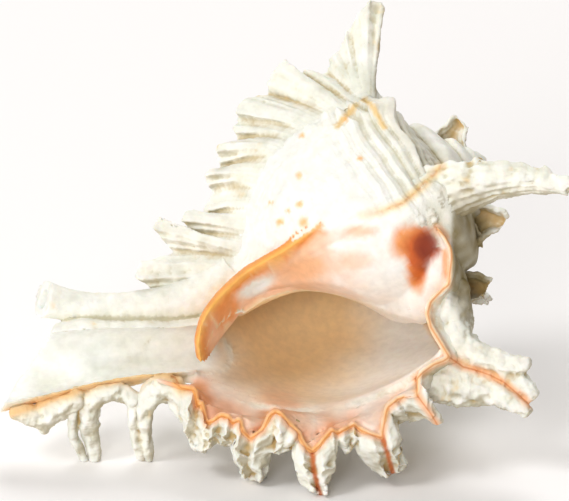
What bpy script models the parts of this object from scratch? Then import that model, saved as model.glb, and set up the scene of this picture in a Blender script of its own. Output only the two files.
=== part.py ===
"""A ramose murex shell, 200 mm across, resting on the tips of its fronds with its mouth to the front.

The shell grew as one piece, so it is one solid: whorls wound about a leaning axis, four rows of
fronds on old lips (varices), a flared ruffled outer lip, an orange inner lip, an open canal and a
hollow mouth.
"""

import math

import bmesh
import bpy
from mathutils import Vector

MM = 0.001

# The shell is laid out as it is looked at: right, up and near, in a frame that leans back.
VIEW_TILT = math.radians(20)
RIGHT = Vector((1, 0, 0))
UP = Vector((0, math.sin(VIEW_TILT), math.cos(VIEW_TILT)))
NEAR = Vector((0, -math.cos(VIEW_TILT), math.sin(VIEW_TILT)))

# Where the tip of the spire is in the row frame, and how the axis of the whorls lies in the view.
APEX_MM = Vector((72.2, 19.3, 97.0))
AXIS_SLOPE = math.radians(29)
AXIS_AWAY = math.radians(5)
TOWARDS_CANAL = -(
    math.cos(AXIS_AWAY) * (math.cos(AXIS_SLOPE) * RIGHT + math.sin(AXIS_SLOPE) * UP)
    - math.sin(AXIS_AWAY) * NEAR
)
ACROSS_NEAR = (NEAR - NEAR.dot(TOWARDS_CANAL) * TOWARDS_CANAL).normalized()
ACROSS_UP = TOWARDS_CANAL.cross(ACROSS_NEAR)

# The whorls: each turn is this many times the last, and the newest ends at this angle.
TURN_GROWTH = 1.8
LAST_ANGLE = 290.0
SPIRE_TURNS = 4

# The outline of the last whorl at its end, as distance from the axis and from the apex, in mm.
# It runs from the suture over the shoulder and the belly to the pillar.
WHORL_OUTLINE = [
    (32.0, 28.0),
    (41.0, 31.5),
    (50.0, 35.5),
    (57.5, 42.0),
    (57.6, 50.4),
    (58.4, 62.0),
    (58.0, 76.0),
    (55.0, 91.0),
    (48.5, 105.0),
    (38.5, 117.0),
    (27.0, 126.0),
    (18.0, 134.0),
    (12.0, 145.0),
    (8.5, 158.0),
    (6.0, 170.0),
]
SUTURE_STATION = 4
PILLAR_END = len(WHORL_OUTLINE) - 1

# The old lips: angle of growth behind the last one, height, and the last station that it reaches.
TOP_VARIX = -198.0
BACK_VARIX = -78.0
VARICES = [
    (BACK_VARIX, 7.0, 13.0),
    (TOP_VARIX, 5.0, 12.5),
    (-291.0, 7.0, 6.5),
    (-410.0, 6.0, 4.0),
    (-515.0, 2.5, 4.0),
    (-620.0, 2.5, 4.0),
    (-725.0, 4.0, 4.0),
    (-830.0, 2.5, 4.0),
    (-935.0, 2.5, 4.0),
]
VARIX_RISE_DEG = 20.0
VARIX_FALL_DEG = 7.0

# The knobs between the old lips: angle of growth, station and height in mm.
KNOBS = [
    (-36.0, 3.2, 5.0),
    (-138.0, 3.2, 6.0),
    (-238.0, 3.0, 9.0),
    (-238.0, 5.0, 2.5),
    (-240.0, 6.6, 2.5),
    (-247.0, 8.2, 2.5),
    (-264.0, 3.2, 3.0),
]
# The glaze inside the mouth: where it starts, over how many degrees it thickens, and how thick.
GLAZE_STARTS = -292.0
GLAZE_SLOPE_DEG = 40.0
GLAZE_THICK = 4.5

KNOB_SPREAD_DEG = 9.0
KNOB_SPREAD_STATIONS = 0.8


def seen(right, up, near):
    """A point given in mm to the right of, above and nearer than the apex, as the shell is seen."""
    return (APEX_MM + right * RIGHT + up * UP + near * NEAR) * MM


def about_axis(radius, along, angle_deg):
    """A point at a distance from the axis and from the apex, in mm, and at an angle round the axis."""
    turn = math.radians(angle_deg)
    out = math.cos(turn) * ACROSS_NEAR + math.sin(turn) * ACROSS_UP
    return (APEX_MM + along * TOWARDS_CANAL + radius * out) * MM


def smooth_between(points, place):
    """The point at a place along a smooth curve through points, which are numbered from 0."""
    last = len(points) - 1
    step = min(int(max(place, 0.0)), last - 1)
    t = place - step
    near = [Vector(points[max(0, min(last, step + k))]) for k in (-1, 0, 1, 2)]
    a, b, c, d = near
    return 0.5 * (
        2 * b + (c - a) * t + (2 * a - 5 * b + 4 * c - d) * t * t + (3 * b - a - 3 * c + d) * t**3
    )


def growth(angle_deg):
    return TURN_GROWTH ** (angle_deg / 360.0)


def varix_height(angle_deg, station):
    """How far the old lips stand out: a slow rise, and a steep fall on the side of new growth."""
    height = 0.0
    for at, tall, reach in VARICES:
        past = angle_deg - at
        spread = VARIX_RISE_DEG if past < 0 else VARIX_FALL_DEG
        fade = min(1.0, max(0.0, (reach - station) / 1.5))
        height += tall * fade * math.exp(-((past / spread) ** 2) * 2.0)
    return height * min(1.0, station / 2.5)


def glaze_height(angle_deg, station):
    """The smooth layer that the mouth lays over the whorl before, behind the inner lip."""
    inside = min(1.0, max(0.0, (GLAZE_STARTS - angle_deg) / GLAZE_SLOPE_DEG))
    covered = min(1.0, max(0.0, (station - 3.5) / 2.0)) * min(1.0, max(0.0, (13.0 - station) / 2.0))
    return GLAZE_THICK * covered * inside * inside * (3 - 2 * inside)


def knob_height(angle_deg, station):
    height = 0.0
    for at, place, tall in KNOBS:
        round_it = ((angle_deg - at) / KNOB_SPREAD_DEG) ** 2
        round_it += ((station - place) / KNOB_SPREAD_STATIONS) ** 2
        height += tall * math.exp(-round_it)
    return height


def outline_normal(station):
    before = smooth_between(WHORL_OUTLINE, max(0.0, station - 0.05))
    after = smooth_between(WHORL_OUTLINE, min(PILLAR_END, station + 0.05))
    along = after - before
    return Vector((along.y, -along.x)).normalized()


def whorl_point(angle_deg, station, lift=0.0):
    """A point on the outside of the whorls, by its angle of growth and its station on the outline."""
    size = growth(angle_deg)
    raised = lift + varix_height(angle_deg, station) + knob_height(angle_deg, station)
    raised += glaze_height(angle_deg, station)
    radius, along = smooth_between(WHORL_OUTLINE, station) + raised * outline_normal(station)
    return about_axis(radius * size, along * size, LAST_ANGLE + angle_deg)


def sheet(columns, rows, place):
    """A grid laid on a surface: place gives the point for a column and a row, each from 0 to 1."""
    bm = bmesh.new()
    bmesh.ops.create_grid(bm, x_segments=columns, y_segments=rows, size=1.0)
    for vert in bm.verts:
        vert.co = place((vert.co.x + 1) / 2, (vert.co.y + 1) / 2)
    return bm


def closed(bm):
    """Joins a sheet's meeting edges, closes its open ends and points its faces outwards."""
    bmesh.ops.remove_doubles(bm, verts=bm.verts, dist=1e-6)
    edges = [edge for edge in bm.edges if edge.is_boundary]
    if edges:
        bmesh.ops.holes_fill(bm, edges=edges, sides=0)
    bmesh.ops.triangulate(bm, faces=[face for face in bm.faces if len(face.verts) > 4])
    bmesh.ops.recalc_face_normals(bm, faces=bm.faces)
    if bm.calc_volume(signed=True) < 0:
        bmesh.ops.reverse_faces(bm, faces=bm.faces)
    return bm


def blade(columns, rows, side_points):
    """A thin closed sheet. side_points gives the front and the back for a place along it and a
    height from its foot, 0, to its free edge, 1. The two meet at the foot, inside the shell."""

    def place(u, v):
        height = 1 - abs(2 * v - 1)
        front, back = side_points(u, height)
        if height == 0:
            return (front + back) / 2
        return front if v <= 0.5 else back

    return closed(sheet(columns, 2 * rows, place))


def add_object(name, bm, material=None):
    mesh = bpy.data.meshes.new(name)
    bm.to_mesh(mesh)
    bm.free()
    obj = bpy.data.objects.new(name, mesh)
    bpy.context.scene.collection.objects.link(obj)
    if material:
        mesh.materials.append(material)
    return obj


def apply_modifiers(obj):
    bpy.context.view_layer.update()
    evaluated = obj.evaluated_get(bpy.context.evaluated_depsgraph_get())
    obj.data = bpy.data.meshes.new_from_object(evaluated)
    obj.modifiers.clear()
    return obj


def whorls():
    """The coiled body and spire as one closed shape, flat across the end of the last whorl."""
    per_station = 3
    band = SUTURE_STATION * per_station
    body = PILLAR_END * per_station
    columns = 1 + SPIRE_TURNS * band + body + 1
    rows = 120

    def place(u, v):
        column = round(u * columns)
        angle = -360.0 * (1 - v)
        if column == 0:
            return about_axis(0, 0.6, 0)
        if column == columns:
            along = WHORL_OUTLINE[-1][1] * growth(angle)
            return about_axis(0, along, 0)
        column -= 1
        turn = min(column // band, SPIRE_TURNS)
        step = column - turn * band
        angle -= 360.0 * (SPIRE_TURNS - turn)
        if step == 0:
            return whorl_point(angle - 360.0, SUTURE_STATION)
        return whorl_point(angle, step / per_station)

    return closed(sheet(columns, rows, place))


def tube(path, sides, shape, steps=40):
    """A closed tube along a smooth path. shape gives a point's place across, out and back, in mm."""

    def place(u, v):
        at = v * (len(path) - 1)
        centre = Vector(smooth_between(path, at))
        ahead = Vector(smooth_between(path, min(at + 0.05, len(path) - 1)))
        behind = Vector(smooth_between(path, max(at - 0.05, 0)))
        along = (ahead - behind).normalized()
        near = Vector((0, 0, 1))
        near = (near - near.dot(along) * along).normalized()
        side = near.cross(along)
        across, out, back = shape(u * 2 * math.pi, v)
        return seen(*(centre + across * side + out * near - back * along))

    return closed(sheet(sides, steps, place))


# The canal: the line through its middle, in mm from the apex as it is seen, and its outer radius.
# Its upper side is broken off shorter than its lower one.
CANAL_LINE = [
    (-86.0, -62.0, 6.0, 10.0),
    (-98.0, -66.0, 10.0, 10.3),
    (-110.0, -68.0, 13.0, 10.5),
    (-124.0, -68.5, 15.0, 11.0),
    (-139.0, -70.0, 16.0, 12.0),
    (-154.0, -72.5, 17.0, 13.0),
    (-175.0, -77.5, 18.0, 12.6),
]
CANAL_WALL = 3.0
CANAL_BROKEN_BACK = 27.0


def canal():
    def shape(turn, v):
        radius = smooth_between(CANAL_LINE, v * (len(CANAL_LINE) - 1))[3]
        back = CANAL_BROKEN_BACK * v**3 * (1 - math.cos(turn)) / 2
        return radius * math.cos(turn), radius * math.sin(turn), back

    return tube([row[:3] for row in CANAL_LINE], 32, shape)


def canal_groove():
    """What is cut out of the canal: round below, and open towards the front."""
    beyond = tuple(2 * Vector(CANAL_LINE[-1]) - Vector(CANAL_LINE[-2]))
    line = CANAL_LINE + [beyond]

    def shape(turn, v):
        radius = smooth_between(line, v * (len(line) - 1))[3] - CANAL_WALL
        across, out = radius * math.cos(turn), radius * math.sin(turn)
        return across, out * (4.0 if out > 0 else 1.0), 0.0

    return tube([row[:3] for row in line], 32, shape, 48)


# The old canal, a stub above the new one that widens at its broken mouth.
OLD_CANAL_PATH = [
    (-92.0, -42.0, 4.0),
    (-104.0, -49.0, 8.0),
    (-118.0, -52.5, 11.0),
    (-132.0, -53.5, 13.0),
    (-146.0, -52.5, 14.0),
    (-157.0, -50.0, 15.0),
]
OLD_CANAL_RADIUS = 6.8


def old_canal():
    def shape(turn, v):
        radius = OLD_CANAL_RADIUS * (1.4 - 1.3 * v * (1 - v) - 0.45 * v)
        return radius * math.cos(turn), radius * math.sin(turn), 3.0 * v * math.sin(turn)

    return tube(OLD_CANAL_PATH, 20, shape)


# The mouth's hollow in a cut through the axis at the end of the last whorl, in mm.
# The outer side follows the whorl less its wall, and the inner side the turn before plus its glaze.
HOLLOW_OUTLINE = [
    (42.5, 46.5),
    (46.0, 43.5),
    (50.0, 44.0),
    (53.0, 47.5),
    (54.4, 54.0),
    (55.0, 63.0),
    (54.4, 76.0),
    (51.5, 90.0),
    (45.5, 102.5),
    (36.0, 113.5),
    (26.0, 121.5),
    (17.0, 127.0),
    (11.5, 125.0),
    (8.5, 114.0),
    (7.5, 101.0),
    (8.5, 90.0),
    (11.0, 81.5),
    (16.5, 74.0),
    (23.5, 68.0),
    (30.5, 61.0),
    (37.0, 53.0),
]
HOLLOW_BACK_DEG = -250.0
HOLLOW_FRONT_DEG = 62.0


def hollow():
    loop = HOLLOW_OUTLINE + HOLLOW_OUTLINE[:3]
    count = len(HOLLOW_OUTLINE)
    middle = Vector((32.0, 84.0))

    def place(u, v):
        angle = HOLLOW_BACK_DEG + v * (HOLLOW_FRONT_DEG - HOLLOW_BACK_DEG)
        point = Vector(smooth_between(loop, 1 + u * count))
        narrow = min(1.0, 0.25 + 2.5 * v)
        point = middle + (point - middle) * narrow
        size = growth(angle)
        return about_axis(point.x * size, point.y * size, LAST_ANGLE + angle)

    return closed(sheet(44, 64, place))


# The edge of the outer lip from the suture to the canal: its station on the whorl's outline, and
# its place in mm from the apex as it is seen. It folds up between the fronds and dips into them.
LIP_EDGE = [
    (0.0, -19.0, -25.5, 38.0),
    (0.5, -14.0, -34.5, 34.0),
    (1.2, -15.0, -45.0, 33.0),
    (1.9, -21.0, -51.0, 34.0),
    (2.2, -22.3, -55.0, 35.0),
    (2.6, -21.0, -60.0, 36.0),
    (3.0, -16.0, -68.0, 38.0),
    (3.3, -15.0, -70.0, 39.0),
    (3.6, -20.0, -72.6, 40.0),
    (4.0, -25.0, -76.0, 41.0),
    (4.4, -26.0, -83.0, 40.0),
    (4.7, -32.5, -84.5, 41.0),
    (5.0, -36.5, -89.5, 41.0),
    (5.3, -41.0, -96.5, 39.0),
    (5.6, -48.5, -93.0, 43.0),
    (5.9, -55.5, -95.5, 43.0),
    (6.2, -61.5, -102.5, 40.0),
    (6.7, -68.0, -97.0, 42.0),
    (7.1, -75.0, -88.5, 45.0),
    (7.5, -83.5, -98.0, 39.0),
    (7.9, -87.0, -93.5, 41.0),
    (8.3, -95.0, -91.5, 39.0),
    (8.8, -99.0, -93.0, 36.0),
    (9.2, -102.0, -87.0, 35.0),
    (9.8, -108.0, -80.0, 31.0),
    (10.6, -117.0, -78.5, 28.0),
]
LIP_BASE_DEG = -14.0
LIP_THICK = 4.2


def lip_outer(u, v):
    """The outside of the flared lip, from the last whorl, v 0, to the edge, v 1."""
    station, right, up, near = smooth_between(LIP_EDGE, u * (len(LIP_EDGE) - 1))
    edge = seen(right, up, near)
    base = whorl_point(LIP_BASE_DEG, station, 0.4)
    leave = whorl_point(LIP_BASE_DEG + 18.0, station, 0.4)
    bend = (base + edge) * 0.25 + (leave - base) * 0.125 + leave * 0.5
    return base * (1 - v) ** 2 + bend * (2 * v * (1 - v)) + edge * v**2


def lip():
    """The flare as a closed sheet with an outer and an inner side."""
    middle_of_mouth = seen(-60.0, -55.0, 15.0)
    reach = 0.06

    def side_points(u, height):
        outside = lip_outer(u, height)
        along = lip_outer(min(u + reach, 1), height) - lip_outer(max(u - reach, 0), height)
        down = lip_outer(u, min(height + reach, 1)) - lip_outer(u, max(height - reach, 0))
        inward = along.cross(down).normalized()
        if inward.dot(middle_of_mouth - outside) < 0:
            inward.negate()
        return outside, outside + inward * LIP_THICK * (1 - 0.25 * height) * MM

    return blade(len(LIP_EDGE) * 4, 10, side_points)


# The glaze that rounds off the corner between the lip and the whorl before: the line through its
# middle as it is seen, and its radius, in mm.
CORNER_GLAZE = [
    (-18.5, -31.0, 30.0, 5.0),
    (-19.5, -41.0, 25.0, 7.5),
    (-24.0, -48.5, 18.0, 9.5),
    (-31.0, -50.0, 8.0, 9.5),
    (-40.0, -47.0, -3.0, 7.0),
]


def corner_glaze():
    path = [row[:3] for row in CORNER_GLAZE]

    def shape(turn, v):
        radius = smooth_between(CORNER_GLAZE, v * (len(CORNER_GLAZE) - 1))[3]
        return radius * math.cos(turn), radius * math.sin(turn), 0.0

    return tube(path, 20, shape, 24)


# The orange inner lip, a thin flange that stands off the pillar: its foot and its free edge.
INNER_LIP_FOOT = [
    (-96.5, -73.5, 10.0),
    (-93.0, -66.5, 9.0),
    (-89.5, -59.5, 8.0),
    (-84.0, -52.5, 9.0),
    (-77.0, -46.0, 12.0),
    (-66.5, -38.0, 21.0),
    (-56.0, -29.0, 31.0),
]
INNER_LIP_EDGE = [
    (-100.9, -72.6, 27.0),
    (-102.0, -65.0, 29.0),
    (-99.5, -55.9, 28.0),
    (-93.1, -47.8, 24.0),
    (-84.3, -40.0, 22.0),
    (-71.9, -32.9, 28.5),
    (-59.5, -24.1, 36.5),
]
INNER_LIP_THICK = 2.4


def inner_lip():
    def side_points(u, height):
        at = u * (len(INNER_LIP_EDGE) - 1)
        foot = Vector(smooth_between(INNER_LIP_FOOT, at))
        edge = Vector(smooth_between(INNER_LIP_EDGE, at))
        front = foot.lerp(edge, height)
        back = front + Vector((-0.6, 0.6, -0.5)) * INNER_LIP_THICK * (3 - 2 * height)
        return seen(*front), seen(*back)

    return blade(28, 6, side_points)


# The frilled edge of the old lip at the top: its station on the whorl's outline, its place to the
# right of and above the apex in mm, and how far it curls to the front. The fronds are its peaks.
TOP_FRILL = [
    (1.8, -42.0, 21.5, 0.0),
    (2.2, -42.5, 30.0, 1.0),
    (2.4, -40.0, 39.0, 3.0),
    (2.5, -37.0, 52.0, 8.0),
    (2.8, -42.0, 55.0, 9.0),
    (3.1, -48.0, 48.0, 6.0),
    (3.3, -52.5, 38.0, 3.0),
    (3.5, -57.0, 34.0, 2.0),
    (3.6, -58.0, 29.5, 0.0),
    (3.9, -64.0, 31.0, 3.0),
    (4.1, -67.5, 27.0, 0.0),
    (4.5, -72.5, 34.5, 6.0),
    (4.8, -77.0, 31.0, 4.0),
    (5.1, -78.5, 22.0, 0.0),
    (5.5, -85.0, 21.0, 4.0),
    (6.0, -89.5, 16.0, 3.0),
    (6.2, -88.0, 12.0, 0.0),
    (6.4, -91.0, 10.5, 2.0),
    (6.7, -88.5, 5.5, 0.0),
    (7.0, -95.0, 4.5, 4.0),
    (7.3, -96.0, 0.0, 3.0),
    (7.6, -94.0, -3.0, 0.0),
    (8.0, -100.0, -6.0, 4.0),
    (8.3, -99.5, -9.5, 3.0),
    (8.6, -97.5, -14.0, 0.0),
    (9.0, -101.0, -17.5, 2.0),
    (9.2, -98.5, -22.0, 0.0),
    (9.6, -107.0, -18.5, 4.0),
    (9.9, -108.5, -22.5, 4.0),
    (10.2, -106.0, -29.5, 0.0),
    (10.5, -116.5, -21.5, 5.0),
    (10.8, -118.5, -26.0, 5.0),
    (11.1, -112.0, -34.5, 0.0),
    (11.5, -123.5, -37.0, 4.0),
    (12.0, -124.5, -42.0, 4.0),
    (12.6, -118.0, -48.0, 0.0),
]
FRILL_THICK = 3.6


def straight_between(points, place):
    before = min(int(place), len(points) - 2)
    return Vector(points[before]).lerp(Vector(points[before + 1]), place - before)


def top_frill():
    def side_points(u, height):
        station, right, up, curl = straight_between(TOP_FRILL, u * (len(TOP_FRILL) - 1))
        foot = whorl_point(TOP_VARIX, station, -4.0)
        depth = (foot / MM - APEX_MM).dot(NEAR)
        edge = seen(right, up, depth + curl)
        fold = math.sin(math.pi * height) * (curl - 1.5) * 0.4
        front = foot.lerp(edge, height) + fold * MM * NEAR
        return front, front - FRILL_THICK * (1 - 0.25 * height) * MM * NEAR

    return blade(4 * (len(TOP_FRILL) - 1), 8, side_points)


def frond(root, bend, tip, width, tip_width, opens):
    """A frond: a blade along a curve, hollowed on the side that it opens to, like a gutter."""
    root, bend, tip = seen(*root), seen(*bend), seen(*tip)
    groove_depth = 0.5

    def place(u, v):
        line = root * (1 - v) ** 2 + bend * (2 * v * (1 - v)) + tip * v**2
        along = ((bend - root) * (1 - v) + (tip - bend) * v).normalized()
        face = (opens - opens.dot(along) * along).normalized()
        side = face.cross(along)
        half = 0.5 * (width + (tip_width - width) * v) * MM
        turn = u * 2 * math.pi
        reach = half * (1 - groove_depth * max(0.0, math.sin(turn)) ** 4)
        return line + side * reach * math.cos(turn) + face * reach * 0.75 * math.sin(turn)

    return closed(sheet(16, 10, place))


# Fronds as they are seen: where they start, the point they bend towards, their tip, all in mm from
# the apex, and their width at the root and at the tip. They open to the front.
LIP_FRONDS = [
    ((-26.0, -73.0, 29.0), (-3.0, -77.0, 36.0), (11.5, -71.5, 38.0), 17.0, 8.0),
    ((-26.0, -75.0, 29.0), (-2.0, -80.0, 35.0), (12.0, -84.5, 36.0), 19.0, 12.0),
    ((-27.0, -77.0, 34.0), (-23.0, -86.0, 37.0), (-21.0, -93.5, 35.0), 10.0, 4.5),
    ((-42.0, -89.0, 31.0), (-38.0, -102.5, 35.0), (-34.5, -112.0, 30.0), 16.0, 10.0),
    ((-50.5, -90.0, 34.0), (-50.0, -98.0, 40.0), (-50.5, -102.5, 40.0), 11.0, 4.0),
    ((-63.0, -93.0, 31.0), (-61.5, -108.0, 42.0), (-59.5, -118.3, 39.0), 19.0, 6.5),
    ((-71.0, -90.0, 34.0), (-69.5, -101.0, 42.0), (-68.5, -107.5, 40.0), 11.0, 4.5),
    ((-83.5, -90.0, 29.0), (-83.0, -104.5, 34.0), (-82.0, -113.5, 25.0), 18.0, 8.0),
    ((-91.5, -87.0, 30.0), (-92.0, -95.5, 36.0), (-92.5, -100.5, 34.0), 13.0, 6.0),
    ((-100.0, -83.0, 25.0), (-101.5, -96.0, 33.0), (-100.5, -103.0, 29.0), 14.0, 6.0),
    ((-108.0, -79.0, 23.0), (-107.0, -89.5, 30.0), (-106.0, -96.0, 28.0), 12.0, 5.0),
    ((-114.0, -78.0, 22.0), (-113.0, -86.5, 29.0), (-112.0, -91.5, 27.0), 13.0, 6.0),
]
CANAL_FRONDS = [
    ((-121.0, -80.0, 22.0), (-122.5, -91.5, 19.0), (-120.5, -107.0, 9.0), 11.0, 5.5),
    ((-139.0, -82.5, 22.0), (-141.5, -94.0, 18.0), (-139.5, -107.0, 8.0), 13.0, 5.5),
    ((-152.0, -86.5, 22.0), (-154.5, -91.5, 20.0), (-156.0, -96.5, 17.0), 13.0, 8.0),
]
SPIRE_FRONDS = [
    ((-14.5, 4.0, -1.0), (-11.5, 9.0, -2.0), (-9.5, 10.5, -4.0), 11.0, 6.0),
    ((-8.0, -24.5, 12.0), (0.0, -20.5, 13.0), (5.0, -24.0, 12.0), 15.0, 7.0),
    ((-14.0, -47.0, 12.0), (-5.5, -45.0, 12.0), (0.0, -46.5, 10.0), 14.0, 7.0),
]
# The spine on the old lip at the front opens upwards and away.
OLD_SPINE = ((-21.0, -13.5, 27.0), (4.0, -5.0, 38.0), (26.5, -10.5, 42.0), 24.0, 8.0)
OLD_SPINE_OPENS = 0.8 * UP - 0.6 * NEAR
# Fronds behind, on the old lip that the shell rests on: station, tip and widths.
BACK_FRONDS = [
    (2.9, (1.0, -52.0, -50.0), 18.0, 8.0),
    (4.8, (-36.0, -80.0, -66.0), 15.0, 7.0),
    (6.2, (-58.0, -82.5, -59.0), 13.0, 6.0),
    (7.6, (-76.0, -84.0, -55.0), 13.0, 6.0),
    (9.2, (-96.0, -83.0, -42.0), 11.0, 6.0),
    (10.8, (-112.0, -78.0, -20.0), 10.0, 5.0),
]


def fronds():
    made = [frond(*row, NEAR) for row in LIP_FRONDS + CANAL_FRONDS + SPIRE_FRONDS]
    made.append(frond(*OLD_SPINE, OLD_SPINE_OPENS))
    for station, tip, width, tip_width in BACK_FRONDS:
        root = (whorl_point(BACK_VARIX, station, -5.0) / MM) - APEX_MM
        root = Vector((root.dot(RIGHT), root.dot(UP), root.dot(NEAR)))
        bend = root.lerp(Vector(tip), 0.5) + Vector((0, 3.0, -8.0))
        made.append(frond(root, bend, tip, width, tip_width, -UP))
    return made


VOXEL = 1.15 * MM
MOST_TRIANGLES = 9600


def shell_material():
    material = bpy.data.materials.new("chalky_shell")
    material.use_nodes = True
    shader = material.node_tree.nodes["Principled BSDF"]
    shader.inputs["Base Color"].default_value = (0.80, 0.76, 0.62, 1)
    shader.inputs["Roughness"].default_value = 0.6
    shader.inputs["Metallic"].default_value = 0.0
    return material


def cut(obj, cutters):
    for cutter in cutters:
        modifier = obj.modifiers.new("cut", "BOOLEAN")
        modifier.operation = "DIFFERENCE"
        modifier.solver = "EXACT"
        modifier.object = cutter
    return apply_modifiers(obj)


def drop_crumbs(obj):
    """Deletes every piece but the largest, as a thin edge can leave a crumb when it is fused."""
    bm = bmesh.new()
    bm.from_mesh(obj.data)
    left = set(bm.verts)
    pieces = []
    while left:
        piece = set()
        reached = [left.pop()]
        while reached:
            vert = reached.pop()
            piece.add(vert)
            for edge in vert.link_edges:
                other = edge.other_vert(vert)
                if other in left:
                    left.remove(other)
                    reached.append(other)
        pieces.append(piece)
    largest = max(pieces, key=len)
    bmesh.ops.delete(bm, geom=[vert for vert in bm.verts if vert not in largest], context="VERTS")
    bm.to_mesh(obj.data)
    bm.free()


def stand_on_floor(obj):
    """Wears the tips of the fronds that the shell stands on flat, where they meet the floor."""
    bm = bmesh.new()
    bm.from_mesh(obj.data)
    everything = bm.verts[:] + bm.edges[:] + bm.faces[:]
    bmesh.ops.bisect_plane(
        bm, geom=everything, plane_co=(0, 0, 0), plane_no=(0, 0, -1), clear_outer=True
    )
    worn = [edge for edge in bm.edges if edge.is_boundary]
    bmesh.ops.triangle_fill(bm, edges=worn, use_beauty=True, normal=(0, 0, -1))
    bmesh.ops.recalc_face_normals(bm, faces=bm.faces)
    bm.to_mesh(obj.data)
    bm.free()


def main():
    for obj in list(bpy.data.objects):
        bpy.data.objects.remove(obj)
    cutters = [add_object("mouth_hollow", hollow()), add_object("canal_groove", canal_groove())]
    walls = [
        cut(add_object("whorls", whorls()), cutters),
        cut(add_object("canal", canal()), cutters),
        add_object("old_canal", old_canal()),
        add_object("outer_lip", lip()),
        add_object("corner_glaze", corner_glaze()),
        add_object("inner_lip", inner_lip()),
        add_object("top_frill", top_frill()),
    ]
    for number, made in enumerate(fronds()):
        walls.append(add_object(f"frond_{number}", made))
    grown = bmesh.new()
    for wall in walls:
        grown.from_mesh(wall.data)
    for obj in walls + cutters:
        bpy.data.objects.remove(obj)

    shell = add_object("murex_shell", grown)
    fuse = shell.modifiers.new("grown_together", "REMESH")
    fuse.mode = "VOXEL"
    fuse.voxel_size = VOXEL
    apply_modifiers(shell)
    drop_crumbs(shell)
    stand_on_floor(shell)
    fewer = shell.modifiers.new("fewer_faces", "DECIMATE")
    fewer.ratio = MOST_TRIANGLES / (2 * len(shell.data.polygons))
    apply_modifiers(shell)
    drop_crumbs(shell)
    shell.data.materials.append(shell_material())
    shell.data.shade_smooth()


main()
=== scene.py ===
"""A ramose murex shell, 200 mm across, that rests on the tips of its fronds, mouth to the front."""

import math

import bmesh
import bpy
import numpy as np
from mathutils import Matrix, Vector, kdtree, noise


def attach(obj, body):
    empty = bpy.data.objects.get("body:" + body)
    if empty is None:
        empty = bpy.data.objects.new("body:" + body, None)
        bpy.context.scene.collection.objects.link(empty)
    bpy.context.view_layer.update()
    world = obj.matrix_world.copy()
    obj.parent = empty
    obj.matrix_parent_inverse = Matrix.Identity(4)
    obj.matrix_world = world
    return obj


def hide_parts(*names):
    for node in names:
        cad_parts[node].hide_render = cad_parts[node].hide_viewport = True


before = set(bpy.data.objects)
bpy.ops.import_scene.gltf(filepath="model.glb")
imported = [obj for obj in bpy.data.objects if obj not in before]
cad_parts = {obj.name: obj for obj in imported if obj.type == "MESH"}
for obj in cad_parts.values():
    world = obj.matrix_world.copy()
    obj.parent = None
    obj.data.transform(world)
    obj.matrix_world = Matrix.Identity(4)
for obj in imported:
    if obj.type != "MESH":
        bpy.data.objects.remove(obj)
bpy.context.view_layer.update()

# The whorls. The shell is aragonite, laid down by the animal in turns that wind to the right about
# a leaning axis. Each turn is 1.8 times the last. Old lips (varices) stand out on it as ribs, with
# knobs between them.
MM = 0.001

# The shell is laid out as it is looked at: right, up and near, in a frame that leans back.
VIEW_TILT = math.radians(20)
RIGHT = Vector((1, 0, 0))
UP = Vector((0, math.sin(VIEW_TILT), math.cos(VIEW_TILT)))
NEAR = Vector((0, -math.cos(VIEW_TILT), math.sin(VIEW_TILT)))
APEX_MM = Vector((72.2, 19.3, 97.0))
AXIS_SLOPE = math.radians(29)
AXIS_AWAY = math.radians(5)
TOWARDS_CANAL = -(
    math.cos(AXIS_AWAY) * (math.cos(AXIS_SLOPE) * RIGHT + math.sin(AXIS_SLOPE) * UP)
    - math.sin(AXIS_AWAY) * NEAR
)
ACROSS_NEAR = (NEAR - NEAR.dot(TOWARDS_CANAL) * TOWARDS_CANAL).normalized()
ACROSS_UP = TOWARDS_CANAL.cross(ACROSS_NEAR)

TURN_GROWTH = 1.8
LAST_ANGLE = 290.0
SPIRE_TURNS = 4

# The outline of the last whorl at its end, from the suture over the shoulder and the belly to the
# pillar, as distance from the axis and from the apex in mm. A place on it is called a station.
WHORL_OUTLINE = [
    (32.0, 28.0), (41.0, 31.5), (50.0, 35.5), (57.5, 42.0), (57.6, 50.4), (58.4, 62.0),
    (58.0, 76.0), (55.0, 91.0), (48.5, 105.0), (38.5, 117.0), (27.0, 126.0), (18.0, 134.0),
    (12.0, 145.0), (8.5, 158.0), (6.0, 170.0),
]
SUTURE_STATION = 4
PILLAR_END = len(WHORL_OUTLINE) - 1

# The old lips: angle of growth behind the last one, height, and the last station that it reaches.
TOP_VARIX = -198.0
BACK_VARIX = -78.0
FRONT_VARIX = -291.0
VARICES = [
    (BACK_VARIX, 7.0, 13.0),
    (TOP_VARIX, 5.0, 12.5),
    (FRONT_VARIX, 7.0, 6.5),
    (-410.0, 6.0, 4.0), (-515.0, 2.5, 4.0), (-620.0, 2.5, 4.0), (-725.0, 4.0, 4.0),
    (-830.0, 2.5, 4.0), (-935.0, 2.5, 4.0),
]
VARIX_RISE_DEG = 20.0
VARIX_FALL_DEG = 7.0

# The knobs between the old lips: angle of growth, station and height in mm.
KNOBS = [
    (-36.0, 3.2, 5.0), (-138.0, 3.2, 6.0), (-238.0, 3.0, 9.0), (-238.0, 5.0, 2.5),
    (-240.0, 6.6, 2.5), (-247.0, 8.2, 2.5), (-264.0, 3.2, 3.0),
]
KNOB_SPREAD_DEG = 9.0
KNOB_SPREAD_STATIONS = 0.8

# The glaze inside the mouth: where it starts, over how many degrees it thickens, and how thick.
GLAZE_STARTS = -292.0
GLAZE_SLOPE_DEG = 40.0
GLAZE_THICK = 4.5

# The parts of the surface, by which each point's relief and colour are chosen.
WHORL, FROND, FRILL, LIP_OUTSIDE, LIP_INSIDE, CANAL, CALLUS, HOLLOW, GROOVE = range(9)
laid = []


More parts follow.
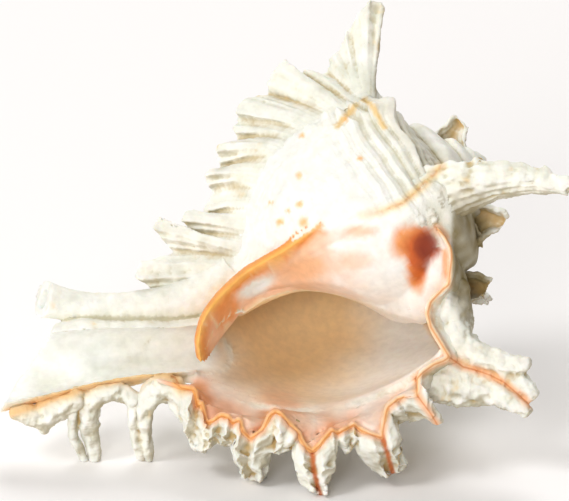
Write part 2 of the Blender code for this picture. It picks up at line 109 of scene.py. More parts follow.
def seen(right, up, near):
    """A point given in mm to the right of, above and nearer than the apex, as the shell is seen."""
    return (APEX_MM + right * RIGHT + up * UP + near * NEAR) * MM


def about_axis(radius, along, angle_deg):
    """A point at a distance from the axis and from the apex, in mm, and at an angle round the axis."""
    turn = math.radians(angle_deg)
    out = math.cos(turn) * ACROSS_NEAR + math.sin(turn) * ACROSS_UP
    return (APEX_MM + along * TOWARDS_CANAL + radius * out) * MM


def smooth_between(points, place):
    """The point at a place along a smooth curve through points, which are numbered from 0."""
    last = len(points) - 1
    step = min(int(max(place, 0.0)), last - 1)
    t = place - step
    near = [Vector(points[max(0, min(last, step + k))]) for k in (-1, 0, 1, 2)]
    a, b, c, d = near
    return 0.5 * (
        2 * b + (c - a) * t + (2 * a - 5 * b + 4 * c - d) * t * t + (3 * b - a - 3 * c + d) * t**3
    )


def growth(angle_deg):
    return TURN_GROWTH ** (angle_deg / 360.0)


def varix_height(angle_deg, station):
    """How far the old lips stand out: a slow rise, and a steep fall on the side of new growth."""
    height = 0.0
    for at, tall, reach in VARICES:
        past = angle_deg - at
        spread = VARIX_RISE_DEG if past < 0 else VARIX_FALL_DEG
        fade = min(1.0, max(0.0, (reach - station) / 1.5))
        height += tall * fade * math.exp(-((past / spread) ** 2) * 2.0)
    return height * min(1.0, station / 2.5)


def glaze_height(angle_deg, station):
    """The smooth layer that the mouth lays over the whorl before, behind the inner lip."""
    inside = min(1.0, max(0.0, (GLAZE_STARTS - angle_deg) / GLAZE_SLOPE_DEG))
    covered = min(1.0, max(0.0, (station - 3.5) / 2.0)) * min(1.0, max(0.0, (13.0 - station) / 2.0))
    return GLAZE_THICK * covered * inside * inside * (3 - 2 * inside)


def knob_height(angle_deg, station):
    height = 0.0
    for at, place, tall in KNOBS:
        round_it = ((angle_deg - at) / KNOB_SPREAD_DEG) ** 2
        round_it += ((station - place) / KNOB_SPREAD_STATIONS) ** 2
        height += tall * math.exp(-round_it)
    return height


def outline_normal(station):
    before = smooth_between(WHORL_OUTLINE, max(0.0, station - 0.05))
    after = smooth_between(WHORL_OUTLINE, min(PILLAR_END, station + 0.05))
    along = after - before
    return Vector((along.y, -along.x)).normalized()


def whorl_point(angle_deg, station, lift=0.0):
    """A point on the outside of the whorls, by its angle of growth and its station on the outline."""
    size = growth(angle_deg)
    raised = lift + varix_height(angle_deg, station) + knob_height(angle_deg, station)
    raised += glaze_height(angle_deg, station)
    radius, along = smooth_between(WHORL_OUTLINE, station) + raised * outline_normal(station)
    return about_axis(radius * size, along * size, LAST_ANGLE + angle_deg)


def sheet(columns, rows, place, kind, grain):
    """A grid laid on a surface by place. It remembers what kind of surface each point is on, and its
    grain: how far along the growth, and how far across it, the point is."""
    bm = bmesh.new()
    bmesh.ops.create_grid(bm, x_segments=columns, y_segments=rows, size=1.0)
    points = np.zeros((columns + 1, rows + 1, 3))
    grains = np.zeros((columns + 1, rows + 1, 2))
    kinds = np.zeros((columns + 1, rows + 1), int)
    for vert in bm.verts:
        u, v = (vert.co.x + 1) / 2, (vert.co.y + 1) / 2
        vert.co = place(u, v)
        at = round(u * columns), round(v * rows)
        points[at] = vert.co
        grains[at] = grain(u, v)
        kinds[at] = kind(u, v) if callable(kind) else kind
    laid.append((points, grains, kinds))
    return bm


def closed(bm):
    """Joins a sheet's meeting edges, closes its open ends and points its faces outwards."""
    bmesh.ops.remove_doubles(bm, verts=bm.verts, dist=1e-6)
    edges = [edge for edge in bm.edges if edge.is_boundary]
    if edges:
        bmesh.ops.holes_fill(bm, edges=edges, sides=0)
    bmesh.ops.triangulate(bm, faces=[face for face in bm.faces if len(face.verts) > 4])
    bmesh.ops.recalc_face_normals(bm, faces=bm.faces)
    if bm.calc_volume(signed=True) < 0:
        bmesh.ops.reverse_faces(bm, faces=bm.faces)
    return bm


def add_object(name, bm):
    mesh = bpy.data.meshes.new(name)
    bm.to_mesh(mesh)
    bm.free()
    obj = bpy.data.objects.new(name, mesh)
    bpy.context.scene.collection.objects.link(obj)
    return obj


def apply_modifiers(obj):
    bpy.context.view_layer.update()
    evaluated = obj.evaluated_get(bpy.context.evaluated_depsgraph_get())
    obj.data = bpy.data.meshes.new_from_object(evaluated)
    obj.modifiers.clear()
    return obj


WHORL_PER_STATION = 5
WHORL_BAND = SUTURE_STATION * WHORL_PER_STATION
WHORL_COLUMNS = 1 + SPIRE_TURNS * WHORL_BAND + PILLAR_END * WHORL_PER_STATION + 1


def whorl_place(u, v):
    """The angle of growth and the station of a place on the sheet of the whorls."""
    column = round(u * WHORL_COLUMNS) - 1
    turn = min(max(column, 0) // WHORL_BAND, SPIRE_TURNS)
    step = column - turn * WHORL_BAND
    angle = -360.0 * (1 - v) - 360.0 * (SPIRE_TURNS - turn)
    if step <= 0:
        return angle - 360.0, SUTURE_STATION
    return angle, min(step / WHORL_PER_STATION, PILLAR_END)


def whorl_surface(u, v):
    column = round(u * WHORL_COLUMNS)
    if column == 0:
        return about_axis(0, 0.6, 0)
    if column == WHORL_COLUMNS:
        return about_axis(0, WHORL_OUTLINE[-1][1] * growth(-360.0 * (1 - v)), 0)
    return whorl_point(*whorl_place(u, v))


whorls = add_object(
    "whorls", closed(sheet(WHORL_COLUMNS, 200, whorl_surface, WHORL, whorl_place))
)

# The canals. The siphon lay in a long gutter that is open to the front. Its upper side is broken
# off shorter. The stub of the canal before it lies above it, and widens at its broken mouth. A row
# has a place as it is seen and the radius there, in mm.
CANAL_LINE = [
    (-86.0, -62.0, 6.0, 10.0),
    (-98.0, -66.0, 10.0, 10.3),
    (-110.0, -68.0, 13.0, 10.5),
    (-124.0, -68.5, 15.0, 11.0),
    (-139.0, -70.0, 16.0, 12.0),
    (-154.0, -72.5, 17.0, 13.0),
    (-175.0, -77.5, 18.0, 12.6),
]
CANAL_WALL = 2.6
CANAL_BROKEN_BACK = 27.0
CANAL_LENGTH = 90.0
OLD_CANAL_PATH = [
    (-92.0, -42.0, 4.0), (-104.0, -49.0, 8.0), (-118.0, -52.5, 11.0), (-132.0, -53.5, 13.0),
    (-146.0, -52.5, 14.0), (-157.0, -50.0, 15.0),
]
OLD_CANAL_RADIUS = 6.8


def tube(path, sides, shape, steps, kind):
    """A closed tube along a smooth path. shape gives a point's place across, out and back, in mm."""

    def place(u, v):
        at = v * (len(path) - 1)
        centre = Vector(smooth_between(path, at))
        ahead = Vector(smooth_between(path, min(at + 0.05, len(path) - 1)))
        behind = Vector(smooth_between(path, max(at - 0.05, 0)))
        along = (ahead - behind).normalized()
        near = Vector((0, 0, 1))
        near = (near - near.dot(along) * along).normalized()
        side = near.cross(along)
        across, out, back = shape(u * 2 * math.pi, v)
        return seen(*(centre + across * side + out * near - back * along))

    def grain(u, v):
        return v * CANAL_LENGTH, u * 60.0

    return closed(sheet(sides, steps, place, kind, grain))


def canal_outside(turn, v):
    radius = smooth_between(CANAL_LINE, v * (len(CANAL_LINE) - 1))[3]
    ragged = 2.2 * v**6 * noise.noise(Vector((2.5 * math.cos(turn), 2.5 * math.sin(turn), 3.0)))
    back = CANAL_BROKEN_BACK * v**3 * (1 - math.cos(turn)) / 2 + ragged
    return radius * math.cos(turn), radius * math.sin(turn), back


GROOVE_LINE = CANAL_LINE + [tuple(2 * Vector(CANAL_LINE[-1]) - Vector(CANAL_LINE[-2]))]


def canal_inside(turn, v):
    """What is cut out of the canal: round below, and open towards the front."""
    radius = smooth_between(GROOVE_LINE, v * (len(GROOVE_LINE) - 1))[3] - CANAL_WALL
    across, out = radius * math.cos(turn), radius * math.sin(turn)
    return across, out * (4.0 if out > 0 else 1.0), 0.0


def old_canal_outside(turn, v):
    radius = OLD_CANAL_RADIUS * (1.4 - 1.3 * v * (1 - v) - 0.45 * v)
    ragged = 1.8 * v**4 * noise.noise(Vector((2 * math.cos(turn), 2 * math.sin(turn), 7.0)))
    return radius * math.cos(turn), radius * math.sin(turn), 3.0 * v * math.sin(turn) + ragged


def old_canal_inside(turn, v):
    """The bore of the old canal, which shows only at its broken mouth."""
    return 3.4 * math.cos(turn), 3.4 * math.sin(turn), -2.0 * v


canal = add_object(
    "canal", tube([row[:3] for row in CANAL_LINE], 48, canal_outside, 60, CANAL)
)
groove = add_object(
    "canal_groove", tube([row[:3] for row in GROOVE_LINE], 48, canal_inside, 60, GROOVE)
)
old_canal = add_object("old_canal", tube(OLD_CANAL_PATH, 36, old_canal_outside, 40, CANAL))
old_canal_bore = add_object(
    "old_canal_bore", tube(OLD_CANAL_PATH[-3:], 20, old_canal_inside, 16, GROOVE)
)

# The mouth's hollow, where the animal lived: the inside of the last turn, smooth and porcelain-like.
# The outer side follows the whorl less its wall, the inner side the turn before with its glaze.
HOLLOW_OUTLINE = [
    (42.5, 46.5), (46.0, 43.5), (50.0, 44.0), (53.0, 47.5), (54.4, 54.0), (55.0, 63.0),
    (54.4, 76.0), (51.5, 90.0), (45.5, 102.5), (36.0, 113.5), (26.0, 121.5), (17.0, 127.0),
    (11.5, 125.0), (8.5, 114.0), (7.5, 101.0), (8.5, 90.0), (11.0, 81.5), (16.5, 74.0),
    (23.5, 68.0), (30.5, 61.0), (37.0, 53.0),
]
HOLLOW_BACK_DEG = -250.0
HOLLOW_FRONT_DEG = 62.0


def hollow_surface(u, v):
    loop = HOLLOW_OUTLINE + HOLLOW_OUTLINE[:3]
    middle = Vector((32.0, 84.0))
    angle = HOLLOW_BACK_DEG + v * (HOLLOW_FRONT_DEG - HOLLOW_BACK_DEG)
    point = Vector(smooth_between(loop, 1 + u * len(HOLLOW_OUTLINE)))
    point = middle + (point - middle) * min(1.0, 0.25 + 2.5 * v)
    size = growth(angle)
    return about_axis(point.x * size, point.y * size, LAST_ANGLE + angle)


def hollow_grain(u, v):
    return HOLLOW_BACK_DEG + v * (HOLLOW_FRONT_DEG - HOLLOW_BACK_DEG), u * 100.0


hollow = add_object("mouth_hollow", closed(sheet(66, 110, hollow_surface, HOLLOW, hollow_grain)))


def cut(obj, cutters):
    for cutter in cutters:
        modifier = obj.modifiers.new("cut", "BOOLEAN")
        modifier.operation = "DIFFERENCE"
        modifier.solver = "EXACT"
        modifier.object = cutter
    return apply_modifiers(obj)


cut(whorls, [hollow, groove])
cut(canal, [hollow, groove])
cut(old_canal, [old_canal_bore])

# The outer lip. The newest edge of the shell flares out of the mouth. It is chalky outside and
# glazed inside. Along its lower edge it is folded like an accordion, and each fold ends in a frond.
# A row of the edge has its station on the whorl and its place as it is seen.
LIP_EDGE_RIGHT = [
    (0.0, -19.0, -25.5, 38.0),
    (0.5, -14.0, -34.5, 34.0),
    (1.2, -15.0, -45.0, 33.0),
    (1.9, -21.0, -51.0, 34.0),
    (2.2, -22.3, -55.0, 35.0),
    (2.6, -21.0, -60.0, 36.0),
    (3.0, -16.5, -68.0, 38.0),
    (3.3, -15.5, -70.5, 39.0),
    (3.6, -20.0, -72.6, 40.0),
    (4.0, -25.0, -76.0, 41.0),
]
LIP_EDGE_LEFT = [(10.6, -117.0, -78.5, 28.0)]
# Along the folded edge: place to the right, station and nearness.
LIP_RUN = [
    (-117.0, 10.6, 27.0), (-108.7, 9.8, 28.0), (-103.4, 9.3, 32.5), (-96.6, 8.5, 36.5),
    (-87.4, 7.9, 40.0), (-80.0, 7.3, 39.5), (-73.3, 6.8, 42.0), (-56.0, 5.9, 42.0),
    (-48.0, 5.6, 40.0), (-38.0, 5.1, 40.5), (-31.0, 4.7, 41.0), (-25.0, 4.2, 40.0),
]
# The folds, from the shoulder to the canal: top, middle and bottom, how near the bottom is, and how
# far the fold stands out of the fringe (ridges) or back in it (gutters).
FOLDS = [
    ((-25.8, -77.5), (-21.2, -84.6), (-18.1, -93.1), 36.0, 2.0),
    ((-25.8, -83.2), (-21.2, -89.9), (-19.1, -93.5), 36.0, 3.0),
    ((-30.8, -83.9), (-27.3, -87.4), (-23.7, -92.0), 36.0, 1.0),
    ((-32.6, -84.6), (-30.4, -88.9), (-26.9, -93.8), 34.0, -3.0),
    ((-34.3, -86.0), (-31.9, -88.9), (-29.7, -91.7), 35.0, 1.5),
    ((-36.1, -87.4), (-35.0, -91.0), (-33.3, -94.9), 33.0, -3.0),
    ((-36.8, -89.2), (-31.9, -100.2), (-29.7, -109.0), 31.0, 0.0),
    ((-37.5, -93.1), (-34.3, -102.0), (-32.6, -111.2), 31.0, 3.0),
    ((-38.2, -98.1), (-36.1, -104.4), (-34.3, -110.8), 31.0, -0.5),
    ((-41.8, -97.0), (-40.0, -103.7), (-36.8, -112.9), 31.0, 3.0),
    ((-45.3, -95.6), (-45.3, -102.7), (-39.6, -111.2), 31.0, 0.5),
    ((-46.7, -94.5), (-46.7, -98.1), (-46.4, -102.0), 36.0, -2.0),
    ((-48.1, -93.5), (-47.4, -96.6), (-48.1, -100.2), 37.0, 2.0),
    ((-49.2, -94.2), (-48.9, -97.7), (-48.9, -100.9), 37.0, -1.5),
    ((-51.3, -95.2), (-51.0, -99.5), (-50.6, -103.4), 37.0, 1.5),
    ((-53.8, -96.6), (-53.8, -98.8), (-53.5, -100.5), 37.0, -1.5),
    ((-55.6, -95.6), (-54.9, -98.1), (-54.9, -100.2), 38.0, 2.0),
    ((-56.3, -96.3), (-54.5, -105.5), (-57.0, -116.8), 39.0, 0.0),
    ((-59.8, -100.5), (-58.8, -108.0), (-57.7, -117.5), 39.0, 3.0),
    ((-62.3, -102.7), (-61.9, -109.4), (-59.5, -118.2), 39.0, -0.5),
    ((-64.8, -101.2), (-65.1, -108.0), (-61.6, -116.8), 39.0, 3.0),
    ((-66.6, -98.1), (-68.7, -107.3), (-65.1, -114.7), 39.0, 0.5),
    ((-66.9, -97.0), (-68.3, -100.2), (-69.4, -102.7), 37.0, -2.0),
    ((-67.6, -95.9), (-70.1, -99.5), (-72.2, -103.4), 37.0, 1.5),
    ((-70.4, -93.5), (-72.9, -99.5), (-74.0, -104.8), 37.0, 0.5),
    ((-73.3, -89.9), (-74.3, -96.6), (-74.7, -104.1), 37.0, 3.0),
    ((-75.4, -89.2), (-75.8, -93.8), (-75.8, -98.1), 36.0, -3.0),
    ((-77.2, -90.6), (-76.5, -100.2), (-78.2, -110.1), 31.0, 0.0),
    ((-79.6, -95.6), (-82.5, -103.0), (-80.0, -114.0), 30.0, 3.0),
    ((-83.9, -98.4), (-84.3, -105.8), (-82.8, -113.3), 30.0, -3.0),
    ((-86.7, -95.6), (-88.9, -103.0), (-85.7, -113.3), 30.0, 3.0),
    ((-87.4, -92.7), (-89.2, -100.2), (-89.2, -108.3), 31.0, 0.0),
    ((-87.8, -92.0), (-87.4, -96.3), (-89.9, -100.9), 34.0, 2.0),
    ((-89.9, -93.1), (-91.0, -97.3), (-92.0, -101.6), 34.0, -2.0),
    ((-91.7, -91.0), (-92.7, -96.6), (-94.5, -101.2), 34.0, 2.5),
    ((-94.2, -90.6), (-95.2, -95.6), (-96.3, -100.5), 33.0, -2.0),
    ((-96.6, -92.4), (-97.3, -97.3), (-98.8, -102.7), 33.0, 2.5),
    ((-99.1, -93.1), (-99.5, -98.4), (-100.2, -103.7), 32.0, -1.5),
    ((-100.9, -86.7), (-99.8, -94.2), (-100.9, -103.0), 31.0, 2.5),
    ((-102.3, -87.4), (-103.4, -94.9), (-103.4, -103.4), 30.0, -3.0),
    ((-103.4, -81.8), (-105.8, -89.9), (-106.6, -97.0), 28.0, 3.0),
    ((-108.0, -81.1), (-108.7, -86.7), (-108.7, -92.7), 27.0, -1.0),
    ((-110.4, -79.3), (-111.2, -83.2), (-111.2, -87.4), 27.0, -2.0),
]
LIP_BASE_DEG = -14.0
LIP_THICK = 3.6
LIP_BULGE = 7.0
LIP_COLUMNS = 300
LIP_ROWS = 16


def fold_top(fold):
    """The station on the whorl and the place of the top of a fold, on the margin of the lip."""
    (right, up), depth = fold[0], fold[4]
    run = np.array(LIP_RUN)
    station = np.interp(right, run[:, 0], run[:, 1])
    near = np.interp(right, run[:, 0], run[:, 2])
    return station, right, up, near + 0.35 * depth


LIP_EDGE = LIP_EDGE_RIGHT + [fold_top(fold) for fold in FOLDS[1:-1]] + LIP_EDGE_LEFT


def straight_between(points, place):
    before = min(int(place), len(points) - 2)
    return Vector(points[before]).lerp(Vector(points[before + 1]), place - before)


def blade(columns, rows, side_points, kind, grain):
    """A thin closed sheet. side_points gives the front and the back for a place along it and a
    height from its foot, 0, to its free edge, 1. The two meet at the foot, inside the shell."""

    def place(u, v):
        height = 1 - abs(2 * v - 1)
        front, back = side_points(u, height)
        if height == 0:
            return (front + back) / 2
        return front if v <= 0.5 else back

    return closed(sheet(columns, 2 * rows, place, kind, grain))


def lip_outer(u, v):
    """The outside of the flared lip, from the last whorl, v 0, to the edge, v 1."""
    station, right, up, near = straight_between(LIP_EDGE, u * (len(LIP_EDGE) - 1))
    station = max(station, 0.0)
    edge = seen(right, up, near)
    base = whorl_point(LIP_BASE_DEG, station, 0.4)
    leave = whorl_point(LIP_BASE_DEG + 18.0, station, 0.4)
    bulge = whorl_point(LIP_BASE_DEG + 18.0, station, 0.4 + LIP_BULGE) - leave
    bend = (base + edge) * 0.25 + (leave - base) * 0.125 + leave * 0.5
    bend += bulge * min(1.0, station / 2.0)
    return base * (1 - v) ** 2 + bend * (2 * v * (1 - v)) + edge * v**2


def lip_sides(u, height):
    middle_of_mouth = seen(-60.0, -55.0, 15.0)
    reach = 0.03
    outside = lip_outer(u, height)
    along = lip_outer(min(u + reach, 1), height) - lip_outer(max(u - reach, 0), height)
    down = lip_outer(u, min(height + reach, 1)) - lip_outer(u, max(height - reach, 0))
    inward = along.cross(down).normalized()
    if inward.dot(middle_of_mouth - outside) < 0:
        inward.negate()
    return outside, outside + inward * LIP_THICK * (1 - 0.4 * height) * MM


def lip_kind(u, v):
    return LIP_OUTSIDE if v <= 0.5 else LIP_INSIDE


def lip_grain(u, v):
    return 45.0 * (1 - abs(2 * v - 1)), u * 200.0


outer_lip = add_object("outer_lip", blade(LIP_COLUMNS, LIP_ROWS, lip_sides, lip_kind, lip_grain))

# The rim: a thickened bead of glaze along the edge, where the lip turns into its fringe. It is a
# round tube along the lip's edge that swells and thins at random.
RIM_RADIUS = 1.1
RIM_PATH = [(right, up + 0.4, near + 1.0) for station, right, up, near in LIP_EDGE]


def rim_outside(turn, v):
    radius = RIM_RADIUS * (1 + 0.25 * noise.noise(Vector((v * 60.0, 0.0, 5.0))))
    radius *= min(1.0, 0.3 + math.sqrt(20 * v), 0.3 + math.sqrt(20 * (1 - v)))
    return radius * math.cos(turn), radius * math.sin(turn), 0.0


rim = add_object("rim", tube(RIM_PATH, 10, rim_outside, 6 * len(RIM_PATH), LIP_INSIDE))

# The glaze of the mouth. It rounds off the corner between the lip and the whorl before, and stands
# off the pillar as a thin flange, the inner lip, with a rolled orange edge. The places are as they
# are seen, in mm, and those in the corner have a radius.
CORNER_GLAZE = [
    (-18.5, -31.0, 30.0, 5.0),
    (-19.5, -41.0, 25.0, 7.5),
    (-24.0, -48.5, 18.0, 9.5),
    (-31.0, -50.0, 8.0, 9.5),
    (-40.0, -47.0, -3.0, 7.0),
]
INNER_LIP_FOOT = [
    (-99.6, -72.9, 21.0), (-95.6, -67.5, 12.0), (-89.5, -59.5, 8.0), (-84.0, -52.5, 9.0),
    (-77.0, -46.0, 12.0), (-66.5, -38.0, 21.0), (-56.0, -29.0, 31.0),
]
INNER_LIP_EDGE = [
    (-100.9, -72.6, 27.0), (-102.0, -65.0, 29.0), (-99.5, -55.9, 28.0), (-93.1, -47.8, 24.0),
    (-84.3, -40.0, 22.0), (-71.9, -32.9, 28.5), (-59.5, -24.1, 36.5),
]
INNER_LIP_THICK = 2.2


def corner_outside(turn, v):
    radius = smooth_between(CORNER_GLAZE, v * (len(CORNER_GLAZE) - 1))[3]
    return radius * math.cos(turn), radius * math.sin(turn), 0.0


def inner_lip_sides(u, height):
    at = u * (len(INNER_LIP_EDGE) - 1)
    foot = Vector(smooth_between(INNER_LIP_FOOT, at))
    edge = Vector(smooth_between(INNER_LIP_EDGE, at))
    edge += Vector((0.5, 0.5, 0.5)) * noise.noise(Vector((u * 9.0, 0, 2.0)))
    front = foot.lerp(edge, height)
    rolled = 1.0 + 0.35 * math.exp(-(((height - 0.9) / 0.1) ** 2))
    back = front + Vector((-0.6, 0.6, -0.5)) * INNER_LIP_THICK * (3 - 2 * height) * rolled
    return seen(*front), seen(*back)


def inner_lip_grain(u, v):
    return 20.0 * (1 - abs(2 * v - 1)), u * 70.0


corner_glaze = add_object(
    "corner_glaze", tube([row[:3] for row in CORNER_GLAZE], 32, corner_outside, 36, CALLUS)
)
inner_lip = add_object(
    "inner_lip", blade(90, 10, inner_lip_sides, CALLUS, inner_lip_grain)
)

# The fringe: the folded edge of the lip, which hangs as ruffled leaves and folded fronds. It is
# chalky lime, cream on the ridges, with olive and ochre painted shade in the gutters.
FRINGE_STEPS = 7
FRINGE_ROWS = 26
FRINGE_THICK = 2.6


def fringe_sides(u, height):
    at = u * (len(FOLDS) - 1)
    before = min(int(at), len(FOLDS) - 2)
    t = at - before
    t = 0.6 * t + 0.4 * t * t * (3 - 2 * t)
    places = []
    for fold in (FOLDS[before], FOLDS[before + 1]):
        top, middle, bottom = Vector(fold[0]), Vector(fold[1]), Vector(fold[2])
        flat = top * (1 - height) * (1 - 2 * height) + middle * 4 * height * (1 - height)
        flat += bottom * height * (2 * height - 1)
        top.y += 0.7
        top_near = fold_top(fold)[3] + 1.2
        stands_out = fold[4] * 1.7 * height**0.7
        bow = 2.5 * math.sin(math.pi * min(1.0, height * 1.2))
        near = top_near + (fold[3] - top_near) * height**1.5 + stands_out + bow
        places.append(Vector((flat.x, flat.y, near)))
    front = places[0].lerp(places[1], t)
    ruffle = noise.noise(Vector((at * 0.9, height * 8.0, 3.0)))
    fine = noise.noise(Vector((at * 2.2, height * 18.0, 8.0)))
    wave = Vector((2.3 * ruffle + 1.2 * fine, 0.6 * ruffle, 1.8 * ruffle + 0.8 * fine))
    front += wave * min(1.0, 1.3 * height)
    back = front - Vector((0.0, -0.4, FRINGE_THICK * (1.25 - 0.45 * height)))
    return seen(*front), seen(*back)


def fringe_grain(u, v):
    return 22.0 * (1 - abs(2 * v - 1)), u * 150.0


# What is laid from here on belongs to other pieces, so the body's share is noted first.
body_sheets = laid[:]
fringe = add_object(
    "fringe",
    blade((len(FOLDS) - 1) * FRINGE_STEPS, FRINGE_ROWS, fringe_sides, FROND, fringe_grain),
)

# The lobes: thick, rounded walls of the front fronds, where a fold has closed on itself. The two
# big ones at the shoulder meet in an orange seam, and those under the canal hook down like claws.
# A row has a place as it is seen, half the width across and half the depth, in mm.
LOBES = {
    "shoulder_upper": [
        (-12.0, -43.0, 21.0, 5.0, 5.0),
        (-14.5, -52.4, 26.0, 6.4, 7.0),
        (-13.5, -59.5, 27.0, 6.2, 7.0),
        (-10.3, -65.5, 28.5, 5.6, 6.5),
        (-4.6, -69.8, 31.0, 5.0, 6.0),
        (1.4, -72.0, 33.0, 4.5, 5.2),
        (6.7, -73.0, 34.5, 4.0, 4.4),
        (10.6, -72.6, 35.5, 3.4, 3.6),
        (13.3, -70.9, 36.5, 1.8, 2.2),
    ],
    "shoulder_lower": [
        (-24.0, -79.0, 30.0, 4.6, 5.5),
        (-17.0, -79.6, 30.0, 7.0, 6.0),
        (-11.7, -80.3, 31.0, 6.6, 6.0),
        (-6.4, -81.2, 32.0, 5.9, 5.5),
        (-0.4, -82.2, 33.0, 5.2, 5.0),
        (4.6, -83.8, 34.0, 4.3, 4.5),
        (9.6, -87.3, 35.0, 3.3, 3.6),
        (13.3, -90.3, 35.5, 2.2, 2.6),
    ],
    "shoulder_tip": [
        (1.5, -75.0, 32.0, 3.0, 3.5),
        (6.5, -77.2, 33.5, 3.8, 3.5),
        (11.5, -80.4, 34.5, 3.8, 3.2),
        (15.4, -84.6, 34.0, 2.6, 2.4),
    ],
    "claw_a_strip": [
        (-143.5, -81.5, 22.0, 2.4, 2.8),
        (-145.3, -84.5, 21.0, 2.1, 2.6),
        (-146.4, -91.0, 19.0, 1.7, 2.3),
        (-146.2, -98.5, 15.0, 1.5, 2.1),
        (-144.2, -103.0, 12.0, 1.6, 2.0),
        (-142.6, -107.6, 9.5, 1.5, 2.0),
    ],
    "claw_a": [
        (-131.0, -82.6, 20.0, 3.2, 3.5),
        (-135.0, -83.2, 20.5, 3.6, 4.0),
        (-139.0, -85.5, 19.5, 4.0, 4.2),
        (-140.6, -90.0, 17.5, 3.9, 4.0),
        (-140.4, -95.0, 15.0, 3.6, 3.7),
        (-139.5, -100.5, 12.0, 2.8, 3.1),
        (-138.8, -107.2, 9.5, 1.9, 2.4),
    ],
    "arch_ab": [
        (-138.0, -82.5, 20.0, 3.2, 3.6),
        (-132.0, -82.3, 20.0, 3.5, 3.8),
        (-127.5, -83.6, 20.0, 3.2, 3.5),
        (-124.8, -87.0, 19.5, 2.2, 3.0),
    ],
    "claw_b_strip": [
        (-124.6, -83.0, 20.0, 2.2, 2.8),
        (-125.3, -91.3, 18.0, 1.9, 2.5),
        (-125.0, -96.6, 15.5, 1.8, 2.3),
        (-123.4, -102.7, 12.0, 1.6, 2.1),
        (-121.9, -106.9, 9.5, 1.3, 1.9),
    ],
    "claw_b": [
        (-113.0, -81.5, 22.0, 4.4, 4.5),
        (-117.0, -82.5, 21.5, 4.8, 4.5),
        (-120.2, -87.0, 20.0, 3.7, 4.0),
        (-120.9, -92.0, 18.0, 2.9, 3.4),
        (-120.8, -98.0, 15.0, 2.4, 3.0),
        (-120.2, -103.0, 12.0, 1.8, 2.4),
        (-119.6, -107.3, 9.5, 1.3, 1.9),
    ],
    "arch_b": [
        (-118.0, -80.6, 22.0, 4.4, 4.5),
        (-112.5, -80.8, 23.0, 4.6, 4.6),
        (-108.5, -83.6, 24.0, 4.0, 4.2),
        (-106.0, -88.0, 25.0, 2.6, 3.2),
    ],
    "shoulder_joint": [
        (-19.0, -73.0, 30.0, 2.4, 4.0),
        (-13.5, -74.6, 30.5, 3.0, 4.5),
        (-7.0, -76.2, 31.0, 3.0, 4.5),
        (0.5, -77.6, 32.0, 2.4, 3.6),
    ],
    "canal_end": [
        (-168.3, -89.6, 20.5, 2.2, 2.6),
        (-163.0, -90.2, 20.5, 4.0, 3.8),
        (-157.5, -91.0, 19.5, 4.9, 4.5),
        (-153.0, -88.6, 20.0, 4.7, 4.5),
        (-148.0, -86.0, 20.5, 4.0, 4.2),
        (-143.5, -83.6, 21.0, 3.6, 4.0),
    ],
    "canal_end_spur": [(-156.0, -92.5, 19.0, 3.4, 3.5), (-156.4, -97.3, 17.0, 1.6, 2.0)],
}
# Small knobs beside the suture, where the shoulder's frilled edges have grown over each other.
KNOTS = {
    "knot_1": [
        (-17.5, -5.5, 35.5, 1.0, 1.6),
        (-15.8, -11.7, 37.3, 1.7, 2.6),
        (-14.8, -17.5, 35.5, 0.9, 1.6),
    ],
    "knot_2": [
        (-21.3, -7.4, 36.5, 0.9, 1.6),
        (-19.0, -12.4, 39.3, 1.5, 2.4),
        (-17.6, -17.5, 37.5, 0.9, 1.6),
    ],
    "knot_3": [
        (-26.0, -13.0, 39.5, 1.0, 1.6),
        (-22.0, -19.0, 38.3, 1.9, 2.6),
        (-20.0, -23.5, 35.5, 1.1, 1.6),
    ],
    "knot_4": [
        (-28.8, -16.3, 40.6, 0.9, 1.6),
        (-25.5, -21.0, 39.3, 1.4, 2.2),
        (-24.0, -24.3, 37.0, 0.8, 1.4),
    ],
}
LOBE_LUMPS = 0.16


def lobe(name, rows):
    """A thick lobe along a path, with rounded ends and a lumpy surface."""
    number = len(laid)

    def shape(turn, v):
        half_wide, half_deep = smooth_between(rows, v * (len(rows) - 1))[3:5]
        lump = noise.noise(Vector((1.4 * math.cos(turn), 1.4 * math.sin(turn), number + 7.0 * v)))
        fine = noise.noise(Vector((3.5 * math.cos(turn), 3.5 * math.sin(turn), number + 20.0 * v)))
        swell = 1 + LOBE_LUMPS * (lump + 0.6 * fine) * 1.6
        swell *= min(1.0, 0.35 + math.sqrt(12 * v), 0.35 + math.sqrt(12 * (1 - v)))
        return half_wide * swell * math.cos(turn), half_deep * swell * math.sin(turn), 0.0

    path = [row[:3] for row in rows]
    return add_object(name, tube(path, 28, shape, 14 * len(rows), FROND))


lobes = [lobe(name, rows) for name, rows in LOBES.items()]
front_sheets = laid[len(body_sheets):]
knots = [lobe(name, rows) for name, rows in KNOTS.items()]
body_sheets += laid[-len(knots):]

